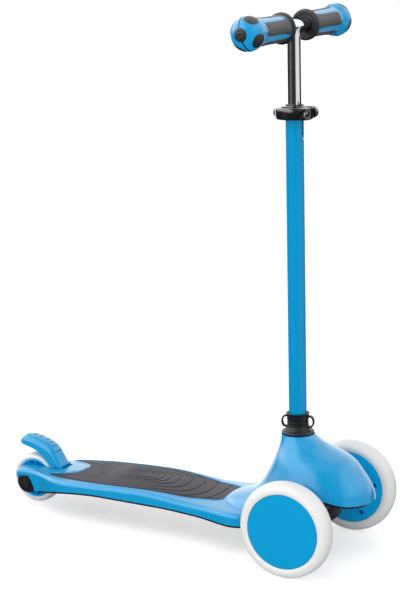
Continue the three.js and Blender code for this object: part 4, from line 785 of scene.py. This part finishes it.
def body_hollow():
    """The room inside, apart from the solid rear and the socket of the outer tube."""
    hollow = carve(deck_loft("inner", BODY_WALL), head_loft("inner_head", BODY_WALL), how="UNION")
    front_of_well = -BASE + REAR_RADIUS + 7
    hollow = carve(hollow, box_piece("solid_rear", -450, front_of_well, -OUTSIDE, OUTSIDE, UNDER, OVER))
    return carve(hollow, rod("socket", 14.9, -57.4, 0, COLUMN))


def brake_pocket():
    """The room for the brake's barrel, open above and behind."""
    side, radius = 11.8, 4.9
    return carve(rod("pocket", radius, -side, side, BRAKE_PIN),
                 box_piece("up", PIN_X - radius, PIN_X + radius, -side, side, PIN_Z, OVER),
                 box_piece("back", -BASE, PIN_X, -side, side, PIN_Z - radius, OVER), how="UNION")


def make_body():
    body = carve(body_form(), body_hollow())
    body = carve(body, beyond_edge("below", 0, -60), wheel_well("well"), arm_ends("ends"))
    neck_end = rod("neck_end", 60, 0, 12, COLUMN)
    tube_bore = rod("tube_bore", 11.5, -54, 8, COLUMN)
    seats = [rod("seat", 7.6, *span(side, 30, OUTSIDE), REAR_AXLE, 48) for side in (1, -1)]
    caps = [cap_form("cap_room", 15.1, *span(side, 25.1, 34), 0) for side in (1, -1)]
    body = carve(body, brake_pocket(), neck_end, tube_bore, *seats, *caps, axle_bore())
    mat_room = carve(slab("mat_room", mat_outline(0.3), 49.6, 70), mat_floor("mat_floor"))
    return carve(carve(body, mat_bead("bead"), how="UNION"), mat_room)


finish(make_body(), blue, "chassis", "blue_body", "body_shell")


# Mat: grooves in nested curves, like the contour lines of a hill, and round ones behind them

FRONT_LINES = [3.2, 7.0, 11.0, 14.8, 18.7, 22.8, 28.3, 35.4, 42.7, 50.2, 58.0]
REAR_LINES = [4.5, 10.0, 16.0, 22.0, 28.0, 34.0]
MAT_PROUD, MAT_SUNK, GROOVE_DEPTH = 0.35, 1.2, 0.8


def furrow(distance, half):
    return np.clip(1 - (np.abs(distance) / half) ** 2, 0, 1)


def groove(x, y, margin):
    """How deep the grooves are at places on the mat, from 0 to 1. margin is how far the mat's edge is."""
    ahead = (np.abs((x + 270) / 2.3) ** 3 + np.abs(y - 3) ** 3) ** (1 / 3)
    behind = np.hypot(x + 318, y - 1)
    front_share = np.clip((x + 296) / 14, 0, 1)
    rear_share = np.clip((-300 - x) / 10, 0, 1)
    deep = np.zeros_like(behind)
    for line in FRONT_LINES:
        deep = np.maximum(deep, front_share * furrow(ahead - line, 1.15))
    for line in REAR_LINES:
        deep = np.maximum(deep, rear_share * furrow(behind - line, 1.3))
    deep = deep * np.clip((margin - 3.4) / 1.2, 0, 1)
    deep = deep * np.clip(0.45 + (x + 300) / 120, 0.45, 1)
    return np.maximum(deep, 0.8 * furrow(margin - 2.5, 0.8))


def mat_margin(x, ys, half, inner):
    """How far places across the mat lie from its edge."""
    far = 99
    margin = np.minimum(half - np.abs(ys), np.abs(ys) - inner if x < MAT_TONGUE else far)
    margin = np.minimum(margin, min(MAT_FRONT - x, far))
    before_tongue = np.hypot(np.maximum(x - MAT_TONGUE, 0), np.maximum(np.abs(ys) - 28, 0) * 3)
    return np.minimum(margin, before_tongue)


def make_mat():
    shares = np.concatenate([np.linspace(0, 0.06, 40)[:-1], np.linspace(0.06, 1, 330)])
    xs, halves = MAT_FRONT + MAT_LENGTH * shares, mat_half(shares)
    behind = np.clip((xs - MAT_TONGUE) / (MAT_REAR - MAT_TONGUE), 0, 1)
    tongue = np.minimum(TONGUE_HALF * behind ** (1 / TONGUE_POWER), halves - 0.6)
    first_open = int(np.argmax(xs < MAT_TONGUE))
    across = np.linspace(0, 1, 66)
    rows, columns = len(xs), len(across)
    points, faces, edges, depths = [], [], [], []
    for side in (1, -1):
        start = len(points)
        for x, half, inner in zip(xs, halves, tongue):
            ys = side * (inner + (half - inner) * across)
            margin = mat_margin(x, ys, half, inner)
            deep = GROOVE_DEPTH * groove(x, ys, margin)
            zs = deck_level(x, ys) + MAT_PROUD - deep - 0.5 * np.clip(1 - margin / 0.7, 0, 1)
            points += [(x, y, z) for y, z in zip(ys, zs)]
            depths += deep.tolist()
        faces += grid_faces(rows, columns, offset=start)
        edge = [start + r * columns + columns - 1 for r in range(rows)]
        edge += [start + (rows - 1) * columns + c for c in reversed(range(columns - 1))]
        edge += [start + r * columns for r in reversed(range(first_open - 1, rows - 1))]
        edges += [edge, [start + c for c in range(columns)]]
    x, y, _ = np.array(points).T
    under = np.stack([x, y, deck_level(x, y) - MAT_SUNK], 1).tolist()
    return two_sheets("mat_skin", points, under, faces, edges, depths + [0.0] * len(under))


finish(make_mat(), mat_grey, "chassis", "grey_mat", "deck_mat", angle=60)


# Bottom cover, seen as the dark edge under the body, and its screws

def make_cover():
    form = carve(deck_loft("under_cover", 0.7), head_loft("cover_head", 0.7), how="UNION")
    form = carve(form, beyond_edge("under", 2.5, -60), beyond_edge("over", 0.3, 200))
    return carve(form, box_piece("ahead", 66, 140, -OUTSIDE, OUTSIDE, 0, 160),
                 box_piece("behind", -500, -398, -OUTSIDE, OUTSIDE, 0, 160),
                 box_piece("truck_room", -16, 44, -31, 31, 0, 160), wheel_well("well"))


def cover_screw(x, y):
    place = move(x, y, 0)
    z = float(smooth_curve(EDGE_X, EDGE_Z, x)) - 2.9
    profile = [(0, z - 1.4), (3.8, z - 1.4), (3.8, z), (2.2, z), (2.2, z + 9), (0, z + 9)]
    screw = turned("cover_screw", profile, 0.4, place, 32)
    for long, wide in ((2.2, 0.5), (0.5, 2.2)):
        screw = carve(screw, box_piece("slot", -long, long, -wide, wide, z - 3, z - 0.7, place))
    finish(screw, steel, "chassis", "plated_steel")


finish(make_cover(), black, "chassis", "black_plastic", "bottom_cover")
for length_share, width_share in ((-0.77, 0.7), (-0.48, 0.7), (-0.2, 0.86)):
    for side in (1, -1):
        cover_screw(BASE * length_share, side * 57.5 * width_share)


# Wheels

EDGE_INSET = 1.2
HUB_RADIUS = 14.7


def tyre_profile(seat, shoulder, radius, width):
    half = width / 2
    points = [(seat, half - EDGE_INSET), (seat, -half + EDGE_INSET)]
    for step in range(25):
        a = (step / 24 - 0.5) * math.pi
        points.append((shoulder + (radius - shoulder) * math.cos(a) ** 0.8, half * math.sin(a)))
    return points


def make_hub(low_z, high_z, place):
    """A tube with a seat for a bearing at each end."""
    seat, stop, depth = 11.3, 9.3, 7.3
    profile = [(seat, low_z), (HUB_RADIUS, low_z), (HUB_RADIUS, high_z), (seat, high_z),
               (seat, high_z - depth), (stop, high_z - depth), (stop, low_z + depth), (seat, low_z + depth)]
    return turned("hub", profile, 0.4, place)


def rib(outer, thickness, low_z, high_z, angle, place):
    return box_piece("rib", 13.5, outer, -thickness / 2, thickness / 2, low_z, high_z, place @ turn_z(angle))


def front_wheel(word, side):
    place = move(0, side * TRACK / 2, AXLE_HEIGHT) @ turn_x(-side * RIGHT)
    body = f"front_wheel_{word}"
    half, rim, screw_ring, first_angle = 13.3, 46.5, 36, math.radians(60)
    face, cap_face = -half + EDGE_INSET, half - EDGE_INSET
    back, cap_back = face + 3.0, cap_face - 2.4
    rib_end = cap_back - 4.6
    tyre = lathe(f"tyre_skin_{word}", tyre_profile(46.8, 49.5, 59.83, 2 * half), place, 144)
    finish(tyre, tyre_white, body, "white_tyre", f"front_tyre_{word}")
    dish = turned("dish", [(13, face), (rim, face), (rim, cap_back - 0.3), (rim - 3, cap_back - 0.3),
                           (rim - 3, back), (13, back)], 0.8, place, 144)
    pieces = [make_hub(-half + 0.3, rib_end, place)]
    for angle in around(5):
        angle += first_angle
        at = place @ move(screw_ring * math.cos(angle), screw_ring * math.sin(angle), 0)
        pieces.append(rib(rim - 1.5, 2.2, face + 1.5, rib_end, angle + math.pi / 5, place))
        boss = [(3.3, face - 0.6), (5.2, face - 0.6), (5.2, face + 12), (1.8, face + 12), (1.8, face + 9.5),
                (3.3, face + 9.5)]
        pieces.append(turned("boss", boss, 0.3, at, 40))
        dish = carve(dish, rod("hole", 5.0, face - 3, face + 8, at, 40))
        screw = [(0, face + 7.4), (2.8, face + 7.4), (2.8, face + 9.3), (1.4, face + 9.3), (1.4, face + 16),
                 (0, face + 16)]
        finish(turned("cap_screw", screw, 0.3, at, 24), steel, body, "plated_steel")
    core = fuse(f"core_skin_{word}", dish, *pieces)
    finish(core, lightened_core_blue, body, "blue_core", f"front_wheel_core_{word}")
    cap = turned(f"disc_cap_{word}", [(0, cap_back), (rim, cap_back), (rim, cap_face - 0.8),
                                      (rim - 0.8, cap_face), (0, cap_face)], 0.8, place, 144)
    finish(cap, cap_blue, body, "blue_body", f"front_wheel_cap_{word}")


def rear_wheel():
    half, rim, inner = 11.8, 26, 23.6
    edge, rib_edge, web = half - EDGE_INSET, half - 2.6, 1.5
    tyre = lathe("tyre_skin_rear", tyre_profile(26.3, 28.5, REAR_RADIUS - 0.17, 2 * half), REAR_AXLE, 120)
    finish(tyre, tyre_white, "rear_wheel", "white_tyre", "rear_tyre")
    dish = turned("dish", [(13, -web), (inner, -web), (inner, -edge), (rim, -edge), (rim, edge),
                           (inner, edge), (inner, web), (13, web)], 0.6, REAR_AXLE, 120)
    ribs = [rib(inner + 0.8, 1.8, -rib_edge, rib_edge, angle, REAR_AXLE) for angle in around(12)]
    core = fuse("core_skin_rear", dish, make_hub(-10.4, 10.4, REAR_AXLE), *ribs)
    finish(core, lightened_core_blue, "rear_wheel", "blue_core", "rear_wheel_core")


def fork_end_cap(word, side):
    cap = cap_form(f"end_cap_{word}", 14.8, *span(side, 25.4, 30.0), 0.3)
    cap = soften(carve(cap, axle_bore()), 0.8, 3)
    finish(cap, black, "chassis", "black_plastic", f"fork_end_cap_{word}")


for word, side in SIDES:
    front_wheel(word, side)
rear_wheel()
for word, side in SIDES:
    fork_end_cap(word, side)


# Foot brake: an arch over the wheel. Its rows are a place on the crest, one on the edges, and a half width.

BRAKE = [(-441.5, 86.5, -441, 81.5, 10), (-437, 90.5, -437, 79.8, 12.4), (-430, 92, -430, 78.3, 13),
         (-420, 91, -421, 76, 13), (-410, 88.5, -412, 72.4, 13), (-400, 85, -404.5, 66.8, 13),
         (-391, 80, -398.5, 60.3, 13), (-384.6, 72, -393, 54.8, 13), (-379.4, 62.5, -386, 54.4, 12.6),
         (-376.2, 56.6, -380.5, 54.4, 12)]
BRAKE_HALF = 13.6 / 13.0
GROOVE_SHARES = (0.13, 0.25, 0.37, 0.48, 0.58, 0.68, 0.77)


def brake_rings():
    rows = np.array(BRAKE, float)
    steps = np.concatenate([[0], np.cumsum(np.hypot(np.diff(rows[:, 0]), np.diff(rows[:, 1])))])
    at = np.linspace(0, steps[-1], 70)
    columns = [smooth_curve(steps, rows[:, k], at) for k in range(5)]
    rings = []
    for cx, cz, ex, ez, half in zip(*columns):
        ring = []
        for step in range(33):
            a = math.pi * step / 32
            rise = math.sin(a) ** 0.72
            across = squared(math.cos(a), 0.7)
            ring.append((ex + (cx - ex) * rise, -half * BRAKE_HALF * across, ez + (cz - ez) * rise))
        rings.append(ring)
    return rings, columns[0], columns[1]


def brake_groove(xs, zs, i):
    """A rounded groove across the crest at one of its places."""
    reach, radius, lift = 10.4, 2.7, 1.0
    slope = math.atan2(zs[i + 1] - zs[i - 1], xs[i + 1] - xs[i - 1])
    place = move(xs[i] - lift * math.sin(slope), 0, zs[i] + lift * math.cos(slope)) @ turn_x(-RIGHT)
    return rod("groove", radius, -reach, reach, place, 24, 1.5)


def make_brake():
    rings, crest_x, crest_z = brake_rings()
    arch = rings_mesh("brake_skin", rings)
    side = 11.5
    barrel = rod("barrel", 4.6, -side, side, BRAKE_PIN, 48, 0.6)
    neck = box_piece("neck", -381.1, -376.1, -side, side, PIN_Z, 56.6)
    arch = carve(arch, barrel, neck, how="UNION")
    trough = rod("trough", REAR_RADIUS + 2.8, -12.2, 12.2, REAR_AXLE, 96)
    bore = rod("bore", 2.3, -40, 40, BRAKE_PIN, 32)
    coil = rod("coil", 5.1, -4.3, 4.3, BRAKE_PIN, 48)
    arch = carve(arch, trough, bore, coil)
    cuts = [brake_groove(crest_x, crest_z, int(share * (len(crest_x) - 1))) for share in GROOVE_SHARES]
    return soften(carve(arch, *cuts), 0.35, 2, 40)


finish(make_brake(), blue, "brake_pedal", "blue_body", "brake_pedal")


# Column: the outer tube with a slit and the stop button, and the collar with its two clips

TUBE_OUT, TUBE_IN, TUBE_FOOT, TUBE_TOP = 11.2, 9.7, -53.7, 407
BUTTON = COLUMN @ move(0, 0, 367) @ turn_y(RIGHT)
COLLAR = [(11.5, 0.3), (20.5, 0.3), (20.5, 2.4), (19.3, 4), (15.4, 5.2), (14.5, 8.2), (13.6, 9.5),
          (13.6, 12.2), (12.3, 12.2), (12.3, 14), (13.6, 14), (13.6, 15.9), (12.3, 15.9), (12.3, 17.7),
          (13.6, 17.7), (13.6, 23.3), (14.9, 26.5), (12.4, 26.5), (11.5, 25.2)]
CLIPS = COLUMN @ turn_z(math.radians(14))


def make_outer_tube():
    tube = turned("outer_tube", [(TUBE_IN, TUBE_FOOT), (TUBE_OUT, TUBE_FOOT), (TUBE_OUT, TUBE_TOP),
                                 (TUBE_IN, TUBE_TOP)], 0.3, COLUMN)
    slit = box_piece("slit", 0, 30, -2.2, 2.2, 372.5, TUBE_TOP + 5, COLUMN)
    return carve(tube, slit, rod("hole", 2.4, 0, 30, BUTTON, 32))


def make_collar():
    collar = lathe("collar_skin", rounded(COLLAR, 0.5, 2), COLUMN)
    for side in (-1, 1):
        for low_z, high_z in ((7.2, 9.7), (20.8, 23.3)):
            pocket = box_piece("pocket", *span(side, 10.4, 24), -3.3, 3.3, low_z, high_z, CLIPS)
            collar = carve(collar, pocket)
    return collar


def make_clip(name, side):
    """A bow of flat strip, with both ends in the collar."""
    tip, radius, thickness, reach = 13.0, 7.75, 1.9, 7.8
    middle = 7.5 + radius

    def bow(inset):
        points = []
        for step in range(41):
            a = -RIGHT + math.pi * step / 40
            points.append((side * (tip + (reach - inset) * max(math.cos(a), 0) ** 0.6),
                           middle + (radius - inset) * math.sin(a)))
        return points
    return soften(prism(name, bow(0) + bow(thickness)[::-1], -3, 3, CLIPS), 0.5, 3, 50)


finish(make_outer_tube(), paint_blue, "chassis", "blue_paint", "lower_tube")
button = turned("button_skin", [(0, 7), (2.15, 7), (2.15, 11.1), (1.5, 11.8), (0, 12.0)], 0.5, BUTTON, 32)
finish(button, steel, "stop_button", "plated_steel", "stop_button")
finish(make_collar(), black, "chassis", "black_plastic", "column_collar")
for word, side in (("front", 1), ("rear", -1)):
    clip = make_clip(f"clip_skin_{word}", side)
    finish(clip, black, f"squeeze_clip_{word}", "black_plastic", f"squeeze_clip_{word}")


# T-bar, with a bead of weld where stem and crossbar meet

TEE = 502.0
BAR_OUT, BAR_IN = 8.35, 7.05
CROSSBAR = COLUMN @ move(0, 0, TEE) @ turn_x(-RIGHT)
SLOT_ENDS = (366.5, 490)


def make_t_bar():
    bar = carve(rod("chrome_bar", BAR_OUT, 92, TEE, COLUMN, 96), rod("bar", BAR_OUT, -121, 121, CROSSBAR, 96),
                how="UNION")
    bar = carve(bar, rod("inner", BAR_IN, 88, TEE, COLUMN), rod("inner_bar", BAR_IN, -125, 125, CROSSBAR))
    slot = box_piece("slot", 0, 30, -2, 2, *SLOT_ENDS, COLUMN)
    ends = [rod("end", 2, 0, 30, COLUMN @ move(0, 0, z) @ turn_y(RIGHT), 32) for z in SLOT_ENDS]
    return carve(bar, slot, *ends)


def make_weld():
    rings = []
    for step, a in enumerate(around(96)):
        x, y = BAR_OUT * math.cos(a), BAR_OUT * math.sin(a)
        middle = np.array([x, y, TEE - math.sqrt(max(BAR_OUT ** 2 - x * x, 0.0))])
        outwards = np.array([math.cos(a), math.sin(a), -0.9 if abs(math.sin(a)) > 0.2 else -0.3])
        outwards /= np.linalg.norm(outwards)
        sideways = np.cross(outwards, [-math.sin(a), math.cos(a), 0])
        radius = 0.8 * (0.9 + 0.12 * math.sin(step * 2.1))
        rings.append([middle + radius * (math.cos(b) * outwards + math.sin(b) * sideways) for b in around(8)])
    return loop_mesh("weld_bead", rings, COLUMN)


t_bar = make_t_bar()
finish(make_weld(), chrome, "t_bar", "chrome_tube")
finish(t_bar, chrome, "t_bar", "chrome_tube", "t_bar", angle=50)


# Clamp: a band with two ears, its knob and its cam lever

CLAMP_TOP, CLAMP_HEIGHT, BOLT = 408.2, 16.8, 18.6
CLAMP_FOOT, CLAMP_MIDDLE = CLAMP_TOP - CLAMP_HEIGHT, CLAMP_TOP - CLAMP_HEIGHT / 2
CLAMP_BOLT = COLUMN @ move(BOLT, 0, CLAMP_MIDDLE) @ turn_x(-RIGHT)
LEVER_OPEN = math.radians(120)


def make_clamp():
    inner, outer = 11.5, 16.1
    ends = (CLAMP_TOP - 20, CLAMP_TOP + 4)
    ring = turned("clamp_skin", [(inner, CLAMP_FOOT), (outer, CLAMP_FOOT), (outer, CLAMP_TOP),
                                 (inner, CLAMP_TOP)], 0.9, COLUMN)
    ears = box_piece("ears", 13.8, 23, -6.5, 6.5, CLAMP_FOOT, CLAMP_TOP, COLUMN)
    ring = carve(ring, soften(ears, 3.0, 5), how="UNION")
    return carve(ring, box_piece("gap", 0, 31, -1.5, 1.5, *ends, COLUMN),
                 rod("bolt_room", 2.7, -40, 40, CLAMP_BOLT, 32), rod("knob_seat", 7.7, 6.5, 40, CLAMP_BOLT),
                 rod("tube_room", inner, *ends, COLUMN, 96))


def make_knob():
    profile = [(2.7, 6.8), (7.0, 6.8), (7.0, 8.6), (7.4, 9.2), (7.4, 13.2), (6.3, 14.8), (2.7, 14.8)]
    return turned("knob_skin", profile, 0.6, CLAMP_BOLT, 64)


def lever_blade(place, start, height):
    """A curved blade that starts at an angle round the column, thins out and ends in a round tip."""
    end, bend_radius, inner, tip = -math.radians(154), 23.0, 20.6, 14.0
    arc_length = bend_radius * (start - end)
    length = arc_length + 5
    travels = np.concatenate([np.linspace(0, length - tip, 44)[:-1],
                              length - tip + tip * np.sin(np.linspace(0, RIGHT, 24))])
    rings = []
    for travel in travels:
        angle = start - min(travel, arc_length) / bend_radius
        tail = max(travel - arc_length, 0)
        taper = travel / length
        thickness = 4.8 * (1 - taper) + 3.2 * taper
        past = min(max(travel - length + tip, 0) / tip, 1)
        half = max(height / 2 * (1 - past ** 2.6) ** (1 / 2.6), 0.4)
        ring = []
        for a in around(28):
            reach = inner + thickness * (squared(math.cos(a), 1.0 if math.cos(a) > 0 else 0.3) + 1) / 2
            ring.append((reach * math.cos(angle) + tail * math.sin(end), reach * math.sin(angle),
                         half * squared(math.sin(a), 0.9)))
        rings.append(ring)
    return rings_mesh("blade", rings, place)


def make_lever():
    """The lever is hollow round the bolt's head, which it passes when it swings open."""
    x, y, height = BOLT, -13.0, 14.6
    place = COLUMN @ move(0, 0, CLAMP_MIDDLE)
    cam = place @ move(x, y, 0)
    cam_open = cam @ turn_z(-LEVER_OPEN)
    lever = rod("lever_skin", 6.2, -height / 2, height / 2, cam, 64, 0.8)
    lever = carve(lever, lever_blade(place, math.atan2(y - 3.1, x), height), how="UNION")
    pin_room = rod("pin_room", 2.1, -20, 20, cam, 32)
    room = box_piece("room", x - 2.7, x + 2.7, y - 6.5, y + 14, -2.7, 2.7, place)
    swing = carve(rod("swing", 6.6, -2.8, 2.8, cam, 48), box_piece("side", -9, 9, -9, -2.7, -9, 9, cam))
    opened = carve(rod("opened", 6.7, -2.9, 2.9, cam, 48),
                   box_piece("side", -9, 9, -9, -2.8, -9, 9, cam_open))
    way = box_piece("way", -2.75, 2.75, 1.5, 9, -2.85, 2.85, cam_open)
    return carve(lever, pin_room, room, swing, opened, way)


finish(make_clamp(), gloss_black, "chassis", "gloss_black", "clamp_band")
finish(make_knob(), gloss_black, "chassis", "gloss_black", "clamp_knob")
finish(make_lever(), gloss_black, "clamp_lever", "gloss_black", "clamp_lever")


# Grips. In a grip's own frame Z runs outwards from the column.

GRIP_IN, BULB, BULB_PLACE = 30.0, 20.4, 118.2
ROOT_ANGLE = math.radians(128)
GRIP_ROOT = BULB_PLACE + BULB * math.cos(ROOT_ANGLE)
GRIP_START = GRIP_IN + 5.3
PANEL_TURN = math.radians(15)
OVAL_TURN = PANEL_TURN + math.radians(51)


def grip_radius(z):
    """The grip's radius at places along it, from its flange outwards."""
    places = [GRIP_IN + (GRIP_ROOT - GRIP_IN) * share for share in (0, 0.5, 0.75, 0.88)]
    stem = smooth_curve([*places, GRIP_ROOT], [15.8, 15.8, 16.2, 16.6, 16.7], z)
    ball = np.sqrt(np.maximum(BULB ** 2 - (np.asarray(z, float) - BULB_PLACE) ** 2, 0))
    return np.where(np.asarray(z) > GRIP_ROOT, ball, stem)


def patch(name, place, outline, thickness, edge=0.35):
    """A thin raised patch on the grip. outline gives rings of (angle, z) from the middle out, and the
    patch's rim is rounded off by edge."""
    lifts = [thickness] * (len(outline) - 1) + [thickness - edge, -0.8]
    rings = []
    for ring, lift in zip([*outline, outline[-1]], lifts):
        radii = [float(grip_radius(z)) + lift for _, z in ring]
        rings.append([(r * math.cos(angle), r * math.sin(angle), z) for r, (angle, z) in zip(radii, ring)])
    return rings_mesh(name, rings, place)


def panel_rings(middle, grow):
    """Rings of (angle, z) for a panel that widens towards the flange."""
    low_z, high_z = 35.2, 99 + grow
    rings = []
    for size in (0.02, 0.3, 0.6, 0.85, 0.96, 1.0):
        ring = []
        for a in around(96):
            z = low_z + (high_z - low_z) * (squared(math.cos(a), 0.25) * size + 1) / 2
            half = 25.5 + math.degrees(grow / 16) + 15 * max(0.0, 1 - (z - low_z) / 22) ** 2
            ring.append((middle + math.radians(min(half, 42.5)) * squared(math.sin(a), 0.25) * size, z))
        rings.append(ring)
    return rings


def oval_rings(middle):
    """Rings of (angle, z) for a round patch on the bulb."""
    centre, reach = math.radians(73), 0.46
    rings = []
    for size in (0.02, 0.4, 0.75, 0.95, 1.0):
        ring = []
        for a in around(48):
            theta = centre + reach * size * math.cos(a)
            angle = middle + reach / math.sin(theta) * size * math.sin(a)
            ring.append((angle, BULB_PLACE + BULB * math.cos(theta)))
        rings.append(ring)
    return rings


def seam(place, angle):
    """A fine black bead from the plug to the bulb's root, where the seam's groove lies in shade: painted
    shade.
    """
    out_way = np.array([math.cos(angle), math.sin(angle), 0])
    across = np.array([-math.sin(angle), math.cos(angle), 0])
    rings = []
    for s in np.linspace(math.radians(15), ROOT_ANGLE * 0.97, 40):
        normal = math.sin(s) * out_way + math.cos(s) * UP
        middle = (BULB - 0.2) * normal + BULB_PLACE * UP
        rings.append([middle + 1.15 * math.cos(b) * across + 0.36 * math.sin(b) * normal for b in around(8)])
    return rings_mesh("seam", rings, place)


def grip_shell(word, place):
    stem = [(float(grip_radius(z)), float(z)) for z in np.linspace(GRIP_START, GRIP_ROOT, 40)]
    ball = [(BULB * math.sin(ROOT_ANGLE * (1 - s)), BULB_PLACE + BULB * math.cos(ROOT_ANGLE * (1 - s)))
            for s in np.linspace(0, 1, 40)[1:]]
    ball[-1] = (0.0, ball[-1][1])
    shell = lathe(f"grip_skin_{word}", [(0, GRIP_START), *stem, *ball], place, 128)
    return carve(shell, rod("bar_room", 8.6, GRIP_START - 4, 122, place),
                 rod("plug_room", 8.0, 136, 145, place))


def make_grip(word, side):
    place = COLUMN @ move(0, 0, TEE) @ turn_x(-side * RIGHT)
    finish(grip_shell(word, place), grip_blue, "t_bar", "grip_blue", f"grip_{word}")

    flange = turned(f"grip_dark_{word}", [(8.6, 31.8), (12.6, 31.8), (14, 30), (17.2, 30), (19, 31.6),
                                          (19, 33.4), (16.6, 35.2), (8.6, 35.2)], 0.7, place)
    # Angles run the other way round on the left, so that both grips look alike
    turns = [-side * (PANEL_TURN + k * RIGHT) for k in range(4)]
    panels = [patch("panel", place, panel_rings(turn, 0), 0.4) for turn in turns]
    dark = fuse(f"grip_dark_{word}", *panels)
    finish(dark, grip_dark, "t_bar", "grip_panel", f"grip_rubber_{word}")

    # A thin black band round each panel stands in for the shade in the groove around it: painted shade.
    groove_shade_rims = [patch("rim", place, panel_rings(turn, 1.5), 0.16, 0.1) for turn in turns]
    ovals = [patch("oval", place, oval_rings(-side * (OVAL_TURN + k * RIGHT)), 0.2) for k in range(4)]
    plug = [(0, 132), (7.8, 132), (7.8, 137.0), (7.2, 137.4), (5.6, 138.0), (5.1, 137.4), (4.6, 138.2),
            (2.1, 138.62), (1.6, 137.0), (0, 136.8)]
    # The seams are black beads that stand in for the shade in the grip's seam grooves: painted shade.
    seams = [seam(place, -side * math.radians(angle)) for angle in (105, 285)]
    trim = fuse(f"grip_trim_{word}", flange, *groove_shade_rims, *ovals, turned("end_plug", plug, 0.25, place, 64), *seams)
    finish(trim, grip_black, "t_bar", "grip_panel")


for word, side in SIDES:
    make_grip(word, side)


# The end

bpy.context.scene.view_settings.view_transform = "Standard"
